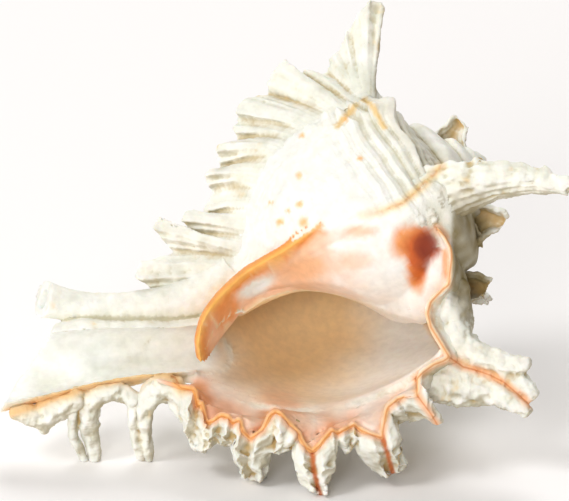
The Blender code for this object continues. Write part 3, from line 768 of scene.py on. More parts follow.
# The frill of the old lip on top: a thin wall that was the lip's edge a little over half a turn
# ago, cut into hooked fronds, with flutes up its front. A row has the station on the whorl, the
# place of the edge to the right and up as it is seen, and how far it curls to the front, in mm.
TOP_FRILL = [
    (1.8, -42.0, 21.5, 0.0),
    (2.2, -42.5, 30.0, 1.0),
    (2.4, -40.0, 39.0, 3.0),
    (2.45, -38.2, 44.0, 5.0),
    (2.5, -36.6, 52.0, 7.0),
    (2.6, -37.6, 54.6, 8.0),
    (2.75, -41.8, 55.5, 9.0),
    (2.85, -44.5, 52.0, 8.0),
    (2.95, -46.5, 51.0, 8.0),
    (3.05, -48.8, 45.5, 6.0),
    (3.15, -50.5, 44.0, 6.0),
    (3.2, -52.5, 37.5, 5.0),
    (3.3, -56.5, 35.0, 3.0),
    (3.4, -57.0, 29.5, 1.0),
    (3.55, -61.5, 30.5, 3.0),
    (3.7, -65.0, 31.5, 3.0),
    (3.85, -67.5, 27.5, 0.0),
    (4.1, -70.5, 32.5, 3.0),
    (4.4, -72.0, 34.8, 6.0),
    (4.7, -76.5, 30.0, 4.0),
    (4.9, -78.2, 26.0, 2.0),
    (5.1, -77.8, 21.8, 0.0),
    (5.3, -81.0, 21.8, 2.0),
    (5.5, -85.0, 21.0, 4.0),
    (5.8, -88.3, 19.0, 4.0),
    (6.0, -89.6, 15.0, 3.0),
    (6.15, -87.8, 12.2, 0.0),
    (6.4, -90.8, 10.6, 2.0),
    (6.6, -88.2, 5.6, 0.0),
    (6.8, -92.5, 5.4, 3.0),
    (7.0, -95.8, 4.0, 4.0),
    (7.2, -96.0, 0.0, 3.0),
    (7.45, -94.6, -4.8, 0.0),
    (7.7, -98.0, -4.4, 3.0),
    (8.0, -100.4, -6.4, 4.0),
    (8.25, -99.6, -9.4, 3.0),
    (8.5, -97.2, -13.0, 0.0),
    (8.8, -100.0, -17.0, 1.0),
    (9.0, -101.0, -18.5, 2.0),
    (9.2, -98.0, -22.0, 0.0),
    (9.5, -104.0, -18.6, 3.0),
    (9.7, -107.2, -19.2, 4.0),
    (9.9, -108.2, -22.4, 4.0),
    (10.1, -105.4, -28.4, 0.0),
    (10.3, -109.0, -28.8, 2.0),
    (10.5, -114.5, -22.6, 5.0),
    (10.65, -116.6, -20.8, 5.0),
    (10.85, -118.8, -25.2, 5.0),
    (11.1, -111.2, -33.8, 0.0),
    (11.3, -117.0, -35.8, 2.0),
    (11.6, -123.6, -37.2, 4.0),
    (12.0, -124.6, -42.0, 4.0),
    (12.6, -118.0, -48.0, 0.0),
]
FRILL_THICK = 3.2
FRILL_COLUMNS = 8 * (len(TOP_FRILL) - 1)
FRILL_ROWS = 26
FRILL_LEAVES_DEG = 20.0
FRILL_LIFT = 1.6
FLUTE_MM = 3.4
FLUTE_DEEP = 0.7


def smooth_step(value, low, high):
    """A rise from 0 at low to 1 at high, which starts and ends gently, for one number."""
    t = min(max((value - low) / (high - low), 0.0), 1.0)
    return t * t * (3 - 2 * t)


def frill_sides(u, height):
    station, right, up, curl = straight_between(TOP_FRILL, u * (len(TOP_FRILL) - 1))
    foot = whorl_point(TOP_VARIX + 4.0, station, -4.0)
    depth = (whorl_point(TOP_VARIX, station, -4.0) / MM - APEX_MM).dot(NEAR)
    leave = whorl_point(TOP_VARIX - FRILL_LEAVES_DEG, station, -0.8)
    bend = whorl_point(TOP_VARIX - 0.4 * FRILL_LEAVES_DEG, station, FRILL_LIFT)
    ragged = 0.7 * noise.noise(Vector((u * 90.0, height * 2.0, 9.0)))
    edge = seen(right + ragged, up + ragged, depth + curl)
    fold = math.sin(math.pi * height) * (curl - 1.5) * 0.55
    across = right * 0.9 - up * 0.45
    uneven = 1.3 * noise.noise(Vector((across * 0.12, 0.0, 4.0)))
    flute = FLUTE_DEEP * math.cos(2 * math.pi * (across / FLUTE_MM + uneven))
    flute *= smooth_step(height, 0.3, 0.9)
    front = leave * (1 - height) ** 2 + bend * (2 * height * (1 - height)) + edge * height**2
    front += (0.5 * fold + flute) * MM * NEAR
    back = foot.lerp(edge, height) + fold * MM * NEAR
    return front, back - FRILL_THICK * (1 - 0.35 * height) * MM * NEAR


def frill_grain(u, v):
    return 35.0 * (1 - abs(2 * v - 1)), u * 190.0


top_frill = add_object(
    "top_frill", blade(FRILL_COLUMNS, FRILL_ROWS, frill_sides, FRILL, frill_grain)
)

# The other fronds. Each was a fold of an old lip's edge, and is a hollow gutter with frilled rims.
# A row has the root, the point it bends towards and the tip, in mm from the apex as they are seen,
# its width at the root and at the tip, how far its rims reach round, and its number of lobes.
FRONDS = [
    ((-42.0, -89.0, 27.0), (-38.0, -102.5, 31.0), (-34.8, -111.0, 27.5), 11.0, 7.0, 130, 5),
    ((-63.0, -93.0, 28.0), (-61.5, -108.0, 37.0), (-60.5, -117.0, 36.0), 12.0, 5.0, 130, 6),
    ((-83.5, -90.0, 26.0), (-84.0, -104.5, 29.0), (-82.8, -112.5, 25.0), 12.0, 7.0, 105, 5),
    ((-16.0, 0.0, 0.0), (-13.5, 7.0, -1.0), (-9.5, 12.5, -4.0), 17.0, 5.5, 120, 2),
    ((-8.0, -24.5, 12.0), (0.0, -20.5, 13.0), (5.0, -24.0, 12.0), 15.0, 7.0, 120, 3),
    ((-10.0, -24.0, 11.0), (-6.0, -28.0, 13.0), (-4.0, -32.5, 12.0), 9.0, 4.0, 120, 2),
    ((-14.0, -47.0, 12.0), (-5.5, -45.0, 12.0), (0.0, -46.5, 10.0), 14.0, 7.0, 120, 3),
]
OLD_SPINE = ((-22.0, -14.5, 27.0), (5.0, -2.5, 38.0), (26.8, -11.5, 42.0), 27.0, 6.5, 105, 7)
OLD_SPINE_OPENS = 0.8 * UP - 0.6 * NEAR
OLD_SPINE_RIDGES = 11
OLD_SPINE_RIDGE_HIGH = 0.07
# Fronds behind, on the old lip that the shell rests on: station, tip, widths and lobes.
BACK_FRONDS = [
    (2.9, (1.0, -52.0, -50.0), 18.0, 8.0, 4),
    (4.8, (-36.0, -80.0, -66.0), 15.0, 7.0, 5),
    (6.2, (-58.0, -82.5, -59.0), 13.0, 6.0, 4),
    (7.6, (-76.0, -84.0, -55.0), 13.0, 6.0, 4),
    (9.2, (-96.0, -83.0, -42.0), 11.0, 6.0, 4),
    (10.8, (-112.0, -78.0, -20.0), 10.0, 5.0, 3),
]
FROND_WALL = 2.0
RIM_FLARE = 1.9


def frond(root, bend, tip, width, tip_width, rims_deg, lobes, opens, ridges=5, ridge_high=0.05):
    """A frond along a curve from the lip, hollowed like a gutter on the side that it opens to."""
    number = len(laid)
    root, bend, tip = seen(*root), seen(*bend), seen(*tip)
    length = (bend - root).length + (tip - bend).length

    def place(u, v):
        outside = u <= 0.5
        round_it = 4 * u - 1 if outside else 3 - 4 * u
        rim = abs(round_it) ** 4
        ragged = 1 + 0.1 * noise.noise(Vector((round_it * 2.0, number, 0.0))) * v
        at = min(v * ragged, 1.06)
        line = root * (1 - at) ** 2 + bend * (2 * at * (1 - at)) + tip * at**2
        along = ((bend - root) * (1 - at) + (tip - bend) * at).normalized()
        face = (opens - opens.dot(along) * along).normalized()
        side = face.cross(along)
        phase = number * 1.7 + (0.9 if round_it > 0 else 0.0)
        lobe_at = 0.5 + 0.5 * math.sin(2 * math.pi * lobes * at + phase)
        uneven = noise.noise(Vector((at * lobes * 1.7, number, math.copysign(3.0, round_it))))
        flare = RIM_FLARE * rim * (lobe_at + uneven - 0.4) * min(1.0, 0.3 + width / 16.0)
        ridge = ridge_high * math.cos(math.pi * ridges * round_it + 2.0 * uneven)
        notch = 0.12 * (lobe_at - 0.5 + uneven) * (1 - abs(2 * abs(round_it) - 1.1)) * v
        radius = 0.5 * (width + (tip_width - width) * at) * (1 + ridge + notch)
        if not outside:
            radius -= min(FROND_WALL * (1 - 0.35 * rim), 0.55 * radius)
        turn = math.radians(rims_deg) * round_it
        across = radius * math.sin(turn) + math.copysign(flare, round_it)
        deep = -radius * 0.8 * math.cos(turn) + 0.5 * flare
        return line + (side * across + face * deep) * MM

    def grain(u, v):
        return v * length / MM, (4 * u - 1 if u <= 0.5 else 3 - 4 * u) * width

    bm = sheet(48, max(16, round(length / (0.8 * MM))), place, FROND, grain)
    return add_object(f"frond_{number}", closed(bm))


fronds = [frond(*row, NEAR) for row in FRONDS]
fronds.append(frond(*OLD_SPINE, OLD_SPINE_OPENS, OLD_SPINE_RIDGES, OLD_SPINE_RIDGE_HIGH))
for station, tip, width, tip_width, lobes_along in BACK_FRONDS:
    root = (whorl_point(BACK_VARIX, station, -5.0) / MM) - APEX_MM
    root = Vector((root.dot(RIGHT), root.dot(UP), root.dot(NEAR)))
    bend = root.lerp(Vector(tip), 0.5) + Vector((0, 3.0, -8.0))
    fronds.append(frond(root, bend, tip, width, tip_width, 125, lobes_along, -UP))
other_sheets = laid[len(body_sheets) + len(front_sheets):]

# Growing together. The walls are fused into three skins by remaking them at an even, fine grain,
# and the inside of the mouth, within its outline as it is seen, is worn smooth.
VOXEL = 0.5 * MM
MOUTH_OUTLINE = [
    (-80.0, -50.6), (-74.0, -46.7), (-68.0, -44.6), (-59.1, -43.9), (-50.3, -45.7),
    (-41.4, -49.9), (-33.3, -55.2), (-24.8, -57.0), (-22.7, -61.2), (-18.4, -65.5),
    (-17.0, -70.1), (-24.8, -74.7), (-28.3, -81.8), (-34.7, -84.6), (-41.1, -90.3),
    (-48.9, -91.7), (-55.9, -93.1), (-62.3, -98.8), (-68.0, -94.9), (-75.0, -87.4),
    (-81.4, -93.8), (-87.8, -90.3), (-94.9, -88.9), (-100.5, -84.6), (-104.8, -78.9),
    (-103.4, -74.7), (-96.6, -64.8), (-87.8, -55.9),
]
SMOOTHING_ROUNDS = 900


def fuse(name, walls):
    bm = bmesh.new()
    for wall in walls:
        bm.from_mesh(wall.data)
        bpy.data.objects.remove(wall)
    obj = add_object(name, bm)
    remesh = obj.modifiers.new("grown_together", "REMESH")
    remesh.mode = "VOXEL"
    remesh.voxel_size = VOXEL
    return apply_modifiers(obj)


def read_vectors(mesh, what):
    values = np.empty(len(mesh.vertices) * 3)
    mesh.vertices.foreach_get(what, values)
    return values.reshape(-1, 3)


def write_places(mesh, places):
    mesh.vertices.foreach_set("co", places.reshape(-1))
    mesh.update()


def edge_ends(mesh):
    ends = np.empty(len(mesh.edges) * 2, int)
    mesh.edges.foreach_get("vertices", ends)
    return ends.reshape(-1, 2)


def neighbour_mean(values, ends):
    """For each vertex, the mean of the values of the vertices that it shares an edge with."""
    number = len(values)
    count = np.bincount(ends.reshape(-1), minlength=number)[:, None]
    total = np.zeros_like(values)
    for column in range(values.shape[1]):
        value = values[:, column]
        total[:, column] = np.bincount(ends[:, 0], value[ends[:, 1]], number)
        total[:, column] += np.bincount(ends[:, 1], value[ends[:, 0]], number)
    return total / np.maximum(count, 1)


def as_seen(places):
    """Places in mm to the right of, above and nearer than the apex, as the shell is seen."""
    from_apex = places / MM - np.array(APEX_MM)
    return np.stack([from_apex @ np.array(way) for way in (RIGHT, UP, NEAR)], axis=1)


def off_line(places, line):
    """How far each place is from a line, and which side of it it is on: above 0 is left of it."""
    line = np.array(line)
    nearest = np.full(len(places), 1e9)
    side = np.zeros(len(places))
    for start, end in zip(line[:-1], line[1:]):
        along = end - start
        t = np.clip(((places - start) @ along) / max(along @ along, 1e-12), 0, 1)
        off = places - start - t[:, None] * along
        distance = np.linalg.norm(off, axis=1)
        closer = distance < nearest
        nearest[closer] = distance[closer]
        side[closer] = (along[0] * off[:, 1] - along[1] * off[:, 0])[closer]
    return nearest, np.sign(side)


def inside_outline(places, outline):
    """Whether each place, to the right and up, is inside a closed outline."""
    inside = np.zeros(len(places), bool)
    for (x0, y0), (x1, y1) in zip(outline, outline[1:] + outline[:1]):
        crosses = (y0 > places[:, 1]) != (y1 > places[:, 1])
        height = np.where(y1 == y0, 1e-9, y1 - y0)
        inside ^= crosses & (places[:, 0] < x0 + (places[:, 1] - y0) / height * (x1 - x0))
    return inside


def ease(value, low, high):
    """The same gentle rise from 0 at low to 1 at high, for many numbers at once."""
    t = np.clip((value - low) / (high - low), 0, 1)
    return t * t * (3 - 2 * t)


def smooth_mouth(obj):
    """Wears the steps off the inside of the mouth, so that the lip curves into the hollow."""
    mesh = obj.data
    places = read_vectors(mesh, "co")
    view = as_seen(places)
    outline = MOUTH_OUTLINE + MOUTH_OUTLINE[:1]
    towards_viewer = read_vectors(mesh, "normal") @ np.array(NEAR)
    shown = ease(view[:, 2], -52, -34) * ease(towards_viewer, -0.35, 0.1)
    chosen = inside_outline(view[:, :2], MOUTH_OUTLINE) & (shown > 0)
    far_in = off_line(view[chosen][:, :2], outline)[0]
    strength = (ease(far_in, 0.3, 4.0) * shown[chosen])[:, None]
    number = np.full(len(places), -1)
    number[chosen] = np.arange(chosen.sum())
    ends = number[edge_ends(mesh)]
    ends = ends[(ends >= 0).all(axis=1)]
    patch = places[chosen]
    for _ in range(SMOOTHING_ROUNDS):
        patch = patch + strength * (neighbour_mean(patch, ends) - patch)
    places[chosen] = patch
    write_places(mesh, places)


body = fuse("body", [whorls, canal, old_canal, outer_lip, rim, corner_glaze, inner_lip] + knots)
smooth_mouth(body)
front_fronds = fuse("front_fronds", [fringe] + lobes)
other_fronds = fuse("other_fronds", [top_frill] + fronds)
for cutter in (hollow, groove, old_canal_bore):
    bpy.data.objects.remove(cutter)

# Relief. The growing edge left wrinkles along itself, and its pleats left cords (raised spiral
# ridges) that run round the whorls and up the fronds. The lime is lumpy between them.


def grown_surface(sheets):
    """A finder for the nearest point of some sheets, with each point's place, grain, kind and steps
    to the next point."""
    flat_points, flat_grains, flat_kinds, steps = [], [], [], []
    for points, grains, kinds in sheets:
        flat_points.append(points.reshape(-1, 3))
        flat_grains.append(grains.reshape(-1, 2))
        flat_kinds.append(kinds.reshape(-1))
        point_steps = [np.gradient(points, axis=axis).reshape(-1, 3) for axis in (0, 1)]
        grain_steps = [np.gradient(grains, axis=axis).reshape(-1, 2) for axis in (0, 1)]
        for step in grain_steps:
            jump = np.abs(step) > 3 * np.median(np.abs(step), axis=0) + 1e-9
            step[jump] = 0.0
        steps.append(np.hstack(point_steps + grain_steps))
    flat_points = np.vstack(flat_points)
    finder = kdtree.KDTree(len(flat_points))
    for number, point in enumerate(flat_points):
        finder.insert(point, number)
    finder.balance()
    return finder, flat_points, np.vstack(flat_grains), np.hstack(flat_kinds), np.vstack(steps)


def kind_and_grain(places, surface):
    """The kind of surface that each place is on, and its grain, from the nearest laid point."""
    finder, flat_points, flat_grains, flat_kinds, steps = surface
    nearest = np.array([finder.find(place)[1] for place in places])
    off = places - flat_points[nearest]
    across, down = steps[nearest, 0:3], steps[nearest, 3:6]
    aa, ad, dd = (across**2).sum(1), (across * down).sum(1), (down**2).sum(1)
    a, d = (across * off).sum(1), (down * off).sum(1)
    size = aa * dd - ad * ad + 1e-18
    i = np.clip((a * dd - d * ad) / size, -1, 1)[:, None]
    j = np.clip((d * aa - a * ad) / size, -1, 1)[:, None]
    grains = flat_grains[nearest] + i * steps[nearest, 6:8] + j * steps[nearest, 8:10]
    return flat_kinds[nearest], grains


def noise_at(places, size_mm, seed):
    """Smooth noise, about -1 to 1, with lumps of a size in mm."""
    scaled = places / (size_mm * MM) + seed * 17.3
    return np.array([noise.noise(place) for place in scaled])


CORD_STATIONS = 0.62
FINE_CORD_STATIONS = 0.17
RIB_MM = 2.6
SCALE_MM = 3.2
RIBBED_FROM, RIBBED_FROM_FULL = -294, -286
RIBBED_TO_FULL, RIBBED_TO = -220, -204


def relief_mm(places, kinds, grains):
    """How far each place of the skin is raised by the relief, in mm."""
    lumps = noise_at(places, 9.0, 1)
    small = noise_at(places, 3.0, 2)
    along, across = grains[:, 0], grains[:, 1]
    on_whorl = kinds == WHORL
    outside_mouth = ease(along, GLAZE_STARTS - 6, GLAZE_STARTS + 2) * on_whorl
    shoulder = ease(across, 0.6, 1.6) * (1 - ease(across, 4.6, 6.6))
    ribbed = ease(along, RIBBED_FROM, RIBBED_FROM_FULL)
    ribbed = ribbed * (1 - ease(along, RIBBED_TO_FULL, RIBBED_TO))
    broad = noise_at(places, 16.0, 3)
    waver = across + 0.14 * lumps + 0.2 * broad + 0.004 * along
    cord = np.cos(2 * np.pi * waver / CORD_STATIONS)
    cord += 0.5 * np.cos(2 * np.pi * waver / (1.7 * CORD_STATIONS) + 1.0)
    fine = np.cos(2 * np.pi * waver / FINE_CORD_STATIONS)
    uneven = 1 + 0.9 * broad + 0.5 * lumps
    height = outside_mouth * (0.08 + 0.55 * shoulder * ribbed + 0.1 * shoulder) * cord * uneven
    height += outside_mouth * (0.04 + 0.12 * shoulder) * fine
    wrinkle_places = np.column_stack([along * 0.45, across * 0.3, np.full(len(along), 4.0)])
    wrinkle = np.array([noise.noise(place) for place in wrinkle_places])
    height += outside_mouth * 0.3 * wrinkle
    chalky = np.isin(kinds, (FROND, FRILL, LIP_OUTSIDE, CANAL))
    rib = np.cos(2 * np.pi * across / RIB_MM + 3 * lumps)
    scale = (along / SCALE_MM + 1.2 * lumps + 0.4 * small) % 1.0
    height += np.isin(kinds, (FRILL, LIP_OUTSIDE)) * 0.09 * rib
    height += chalky * 0.16 * (scale - 0.5)
    rough = np.clip(chalky + outside_mouth, 0, 1)
    height += rough * (0.35 * lumps + 0.25 * small)
    height += (kinds == FROND) * (0.5 * lumps + 0.25 * small)
    height += (1 - rough) * 0.06 * lumps
    return height


def raise_relief(obj, surface):
    mesh = obj.data
    places = read_vectors(mesh, "co")
    kinds, grains = kind_and_grain(places, surface)
    raised = relief_mm(places, kinds, grains)[:, None] * read_vectors(mesh, "normal") * MM
    write_places(mesh, places + raised)


# Wear. The tips that the shell stands on are worn flat where they meet the floor, and what a thin
# edge has shed is gone.
MOST_TRIANGLES = 192000
CRUMB_VERTICES = 400


def drop_crumbs(obj):
    """Deletes small loose pieces, as a thin edge can leave a crumb when it is fused."""
    bm = bmesh.new()
    bm.from_mesh(obj.data)
    left = set(bm.verts)
    crumbs = []
    while left:
        piece = set()
        reached = [left.pop()]
        while reached:
            vert = reached.pop()
            piece.add(vert)
            for edge in vert.link_edges:
                other = edge.other_vert(vert)
                if other in left:
                    left.remove(other)
                    reached.append(other)
        if len(piece) < CRUMB_VERTICES:
            crumbs.extend(piece)
    bmesh.ops.delete(bm, geom=crumbs, context="VERTS")
    bm.to_mesh(obj.data)
    bm.free()


def stand_on_floor(obj):
    bm = bmesh.new()
    bm.from_mesh(obj.data)
    everything = bm.verts[:] + bm.edges[:] + bm.faces[:]
    bmesh.ops.bisect_plane(
        bm, geom=everything, plane_co=(0, 0, 0), plane_no=(0, 0, -1), clear_outer=True
    )
    worn = [edge for edge in bm.edges if edge.is_boundary]
    if worn:
        bmesh.ops.triangle_fill(bm, edges=worn, use_beauty=True, normal=(0, 0, -1))
    bmesh.ops.recalc_face_normals(bm, faces=bm.faces)
    bm.to_mesh(obj.data)
    bm.free()


surfaces = [grown_surface(sheets) for sheets in (body_sheets, front_sheets, other_sheets)]
pieces = [body, front_fronds, other_fronds]
for piece, surface in zip(pieces, surfaces):
    raise_relief(piece, surface)
    stand_on_floor(piece)
    drop_crumbs(piece)
    triangles = 2 * len(piece.data.polygons)
    if triangles > MOST_TRIANGLES:
        fewer = piece.modifiers.new("fewer_faces", "DECIMATE")
        fewer.ratio = MOST_TRIANGLES / triangles
        apply_modifiers(piece)

# Colour. The lime is chalky cream with yellow stains, and painted shade: olive-grey in its hollows,
# ochre in its gutters and umber on its shaded sides. The glaze is white in the mouth, with tan
# painted shade in its depth, and turns peach and orange towards its edges, with a red-brown blotch.


def linear(hex_colour):
    """An sRGB hex colour as linear red, green and blue."""
    parts = [int(hex_colour[i : i + 2], 16) / 255 for i in (1, 3, 5)]
    return np.array([c / 12.92 if c <= 0.04045 else ((c + 0.055) / 1.055) ** 2.4 for c in parts])


CREAM = linear("#f6f4e6")
WHITE = linear("#fcfbf5")
OLIVE = linear("#b5ab80")
GREEN_GREY = linear("#d3d6c2")
STAIN = linear("#ecc985")
RUST = linear("#c8692c")
PEACH = linear("#f6bd8f")
PINK_WHITE = linear("#fbeee4")
ORANGE = linear("#ee9440")
YELLOW_ORANGE = linear("#f9bb63")
RED_ORANGE = linear("#cf5f1e")
BLOTCH = linear("#8a2b04")
BLUE_WHITE = linear("#f6f9f4")
DEPTH_TAN_SHADE = linear("#fbd6a2")
LIP_WHITE = linear("#fffcf5")
BLUSH = linear("#f0ab7c")
UMBER_SHADE = linear("#9a8859")
OCHRE_SHADE = linear("#cfae74")
DARK_OLIVE_SHADE = linear("#86764a")
SEAM_ORANGE = linear("#d0762f")

# Lines on the shell, in mm to the right of and above the apex, as they are seen: the edge of the
# lip's glaze, its branch round the shoulder frond, the seams of folded fronds, the canal's lip, and
# the edge of the glaze on the whorl, from the drip at the canal to the shoulder.
LIP_SEAM = [
    (-19.1, -25.5), (-16.3, -28.0), (-14.2, -32.2), (-13.8, -35.4), (-14.5, -40.7),
    (-14.9, -45.0), (-17.0, -46.7), (-21.2, -51.0), (-22.3, -54.9), (-21.2, -59.8),
    (-18.1, -64.8), (-14.9, -70.1), (-9.9, -73.6), (-4.6, -75.0), (-0.4, -76.5), (4.2, -78.9),
    (9.6, -83.5), (13.1, -86.7),
]
BRANCH_SEAM = [
    (-14.9, -70.1), (-17.0, -71.5), (-20.2, -72.6), (-24.1, -75.4), (-26.2, -77.5),
    (-26.2, -83.2), (-21.2, -89.9), (-19.1, -93.5),
]
FOLD_SEAM = [fold[0] for fold in FOLDS[2:]]
CANAL_SEAM = [
    (-108.0, -81.1), (-110.4, -77.5), (-114.3, -76.1), (-119.7, -76.1), (-122.8, -77.2),
    (-123.9, -78.9), (-127.4, -77.9), (-132.0, -77.9), (-138.4, -79.3), (-142.7, -81.1),
    (-145.5, -82.5), (-150.8, -83.5), (-155.8, -85.3), (-162.1, -88.1), (-168.5, -89.9),
]
SLITS = [
    [(-38.2, -97.5), (-36.1, -104.4), (-34.3, -110.8)],
    [(-62.3, -103.5), (-61.9, -109.4), (-59.5, -118.2)],
]
LIP_OUTLINE = [row[1:3] for row in LIP_EDGE]
GLAZE_EDGE = [
    (-100.9, -72.6), (-102.0, -65.0), (-99.5, -55.9), (-93.1, -47.8), (-84.3, -40.4),
    (-71.9, -32.9), (-61.0, -24.5), (-57.0, -25.5), (-49.0, -22.0), (-42.0, -23.5),
    (-34.0, -21.5), (-22.0, -23.0), (-16.0, -29.0),
]
# Patches of colour on the glaze: middle, half width and half height, turn in degrees, colour and
# strength.
PATCHES = [
    ((-92.5, -55.0), 4.0, 7.5, -30, ORANGE, 0.9),
    ((-82.0, -46.0), 8.5, 3.4, 28, BLUE_WHITE, 0.95),
    ((-65.0, -39.5), 10.0, 4.6, 12, PEACH, 0.9),
    ((-50.0, -31.0), 9.0, 2.0, 8, WHITE, 0.9),
    ((-47.0, -37.0), 7.0, 3.4, 5, PEACH, 0.45),
    ((-45.0, -26.0), 7.0, 2.6, 5, PEACH, 0.6),
    ((-35.5, -27.5), 4.0, 5.0, 0, WHITE, 0.9),
    ((-33.0, -42.0), 6.0, 8.0, 0, WHITE, 0.7),
    ((-27.5, -30.0), 9.5, 7.5, 20, ORANGE, 0.95),
    ((-26.3, -40.0), 4.2, 9.5, 8, ORANGE, 0.95),
    ((-24.0, -31.5), 7.6, 8.0, -10, RED_ORANGE, 0.95),
    ((-25.8, -38.5), 3.2, 7.5, 8, RED_ORANGE, 0.9),
    ((-22.6, -31.0), 5.0, 6.0, -20, BLOTCH, 0.9),
    ((-23.2, -36.5), 2.4, 5.0, 0, BLOTCH, 0.6),
    ((-15.6, -37.5), 1.9, 7.5, 4, PEACH, 0.95),
]
SPOTS = [
    ((-65.8, 7.1), 1.1),
    ((-66.9, -7.1), 1.6),
    ((-66.5, -17.0), 1.3),
    ((-65.5, -23.0), 2.0),
    ((-73.6, -23.0), 1.6),
    ((-71.0, -19.0), 1.0),
    ((-77.0, -16.5), 0.9),
    ((-50.6, 12.7), 1.2),
    ((-45.7, -1.0), 1.0),
]
FRONT_SCAR = [(-45.0, -21.0), (-38.0, -19.5), (-31.0, -16.5), (-24.0, -10.5), (-17.5, -3.8)]
CREST_STAINS = [
    [(-53.5, 10.5), (-50.0, 14.5), (-47.0, 18.0)],
    [(-44.0, 20.0), (-41.0, 17.0), (-37.5, 10.0)],
]

# Where the glaze on the whorl may be: its left and right limits and its farthest, in mm.
GLAZE_LEFT, GLAZE_RIGHT, GLAZE_FARTHEST = -103.0, -13.0, -8.0
# Two rounded areas as they are seen, by their middles and half sizes, that get painted shade: the
# tan depth of the mouth and the shaded hollow in the corner to the right of the lip.
SHADED_DEPTH_MIDDLE, SHADED_DEPTH_HALF = (-70.0, -56.0), (36.0, 38.0)
SHADED_CORNER_MIDDLE, SHADED_CORNER_HALF = (-8.0, -35.0), (11.0, 24.0)
# The way that the sides with painted umber shade face, and how far places are evened out to find
# the small hollows and wide gutters that get painted shade.
SHADED_SIDE = (0.6, 0.1, -0.75)
SMALL_ROUNDS, WIDE_ROUNDS = 14, 90


def above_line(places, line):
    """How far each place is above a line of (right, up) points, in mm."""
    line = np.array(sorted(line))
    return places[:, 1] - np.interp(places[:, 0], line[:, 0], line[:, 1])


def mix(paint, colour, amount):
    amount = np.clip(amount, 0, 1)[:, None]
    return paint * (1 - amount) + colour * amount


def softened(values, ends, rounds):
    values = values.astype(float)[:, None]
    for _ in range(rounds):
        values = 0.5 * values + 0.5 * neighbour_mean(values, ends)
    return values[:, 0]


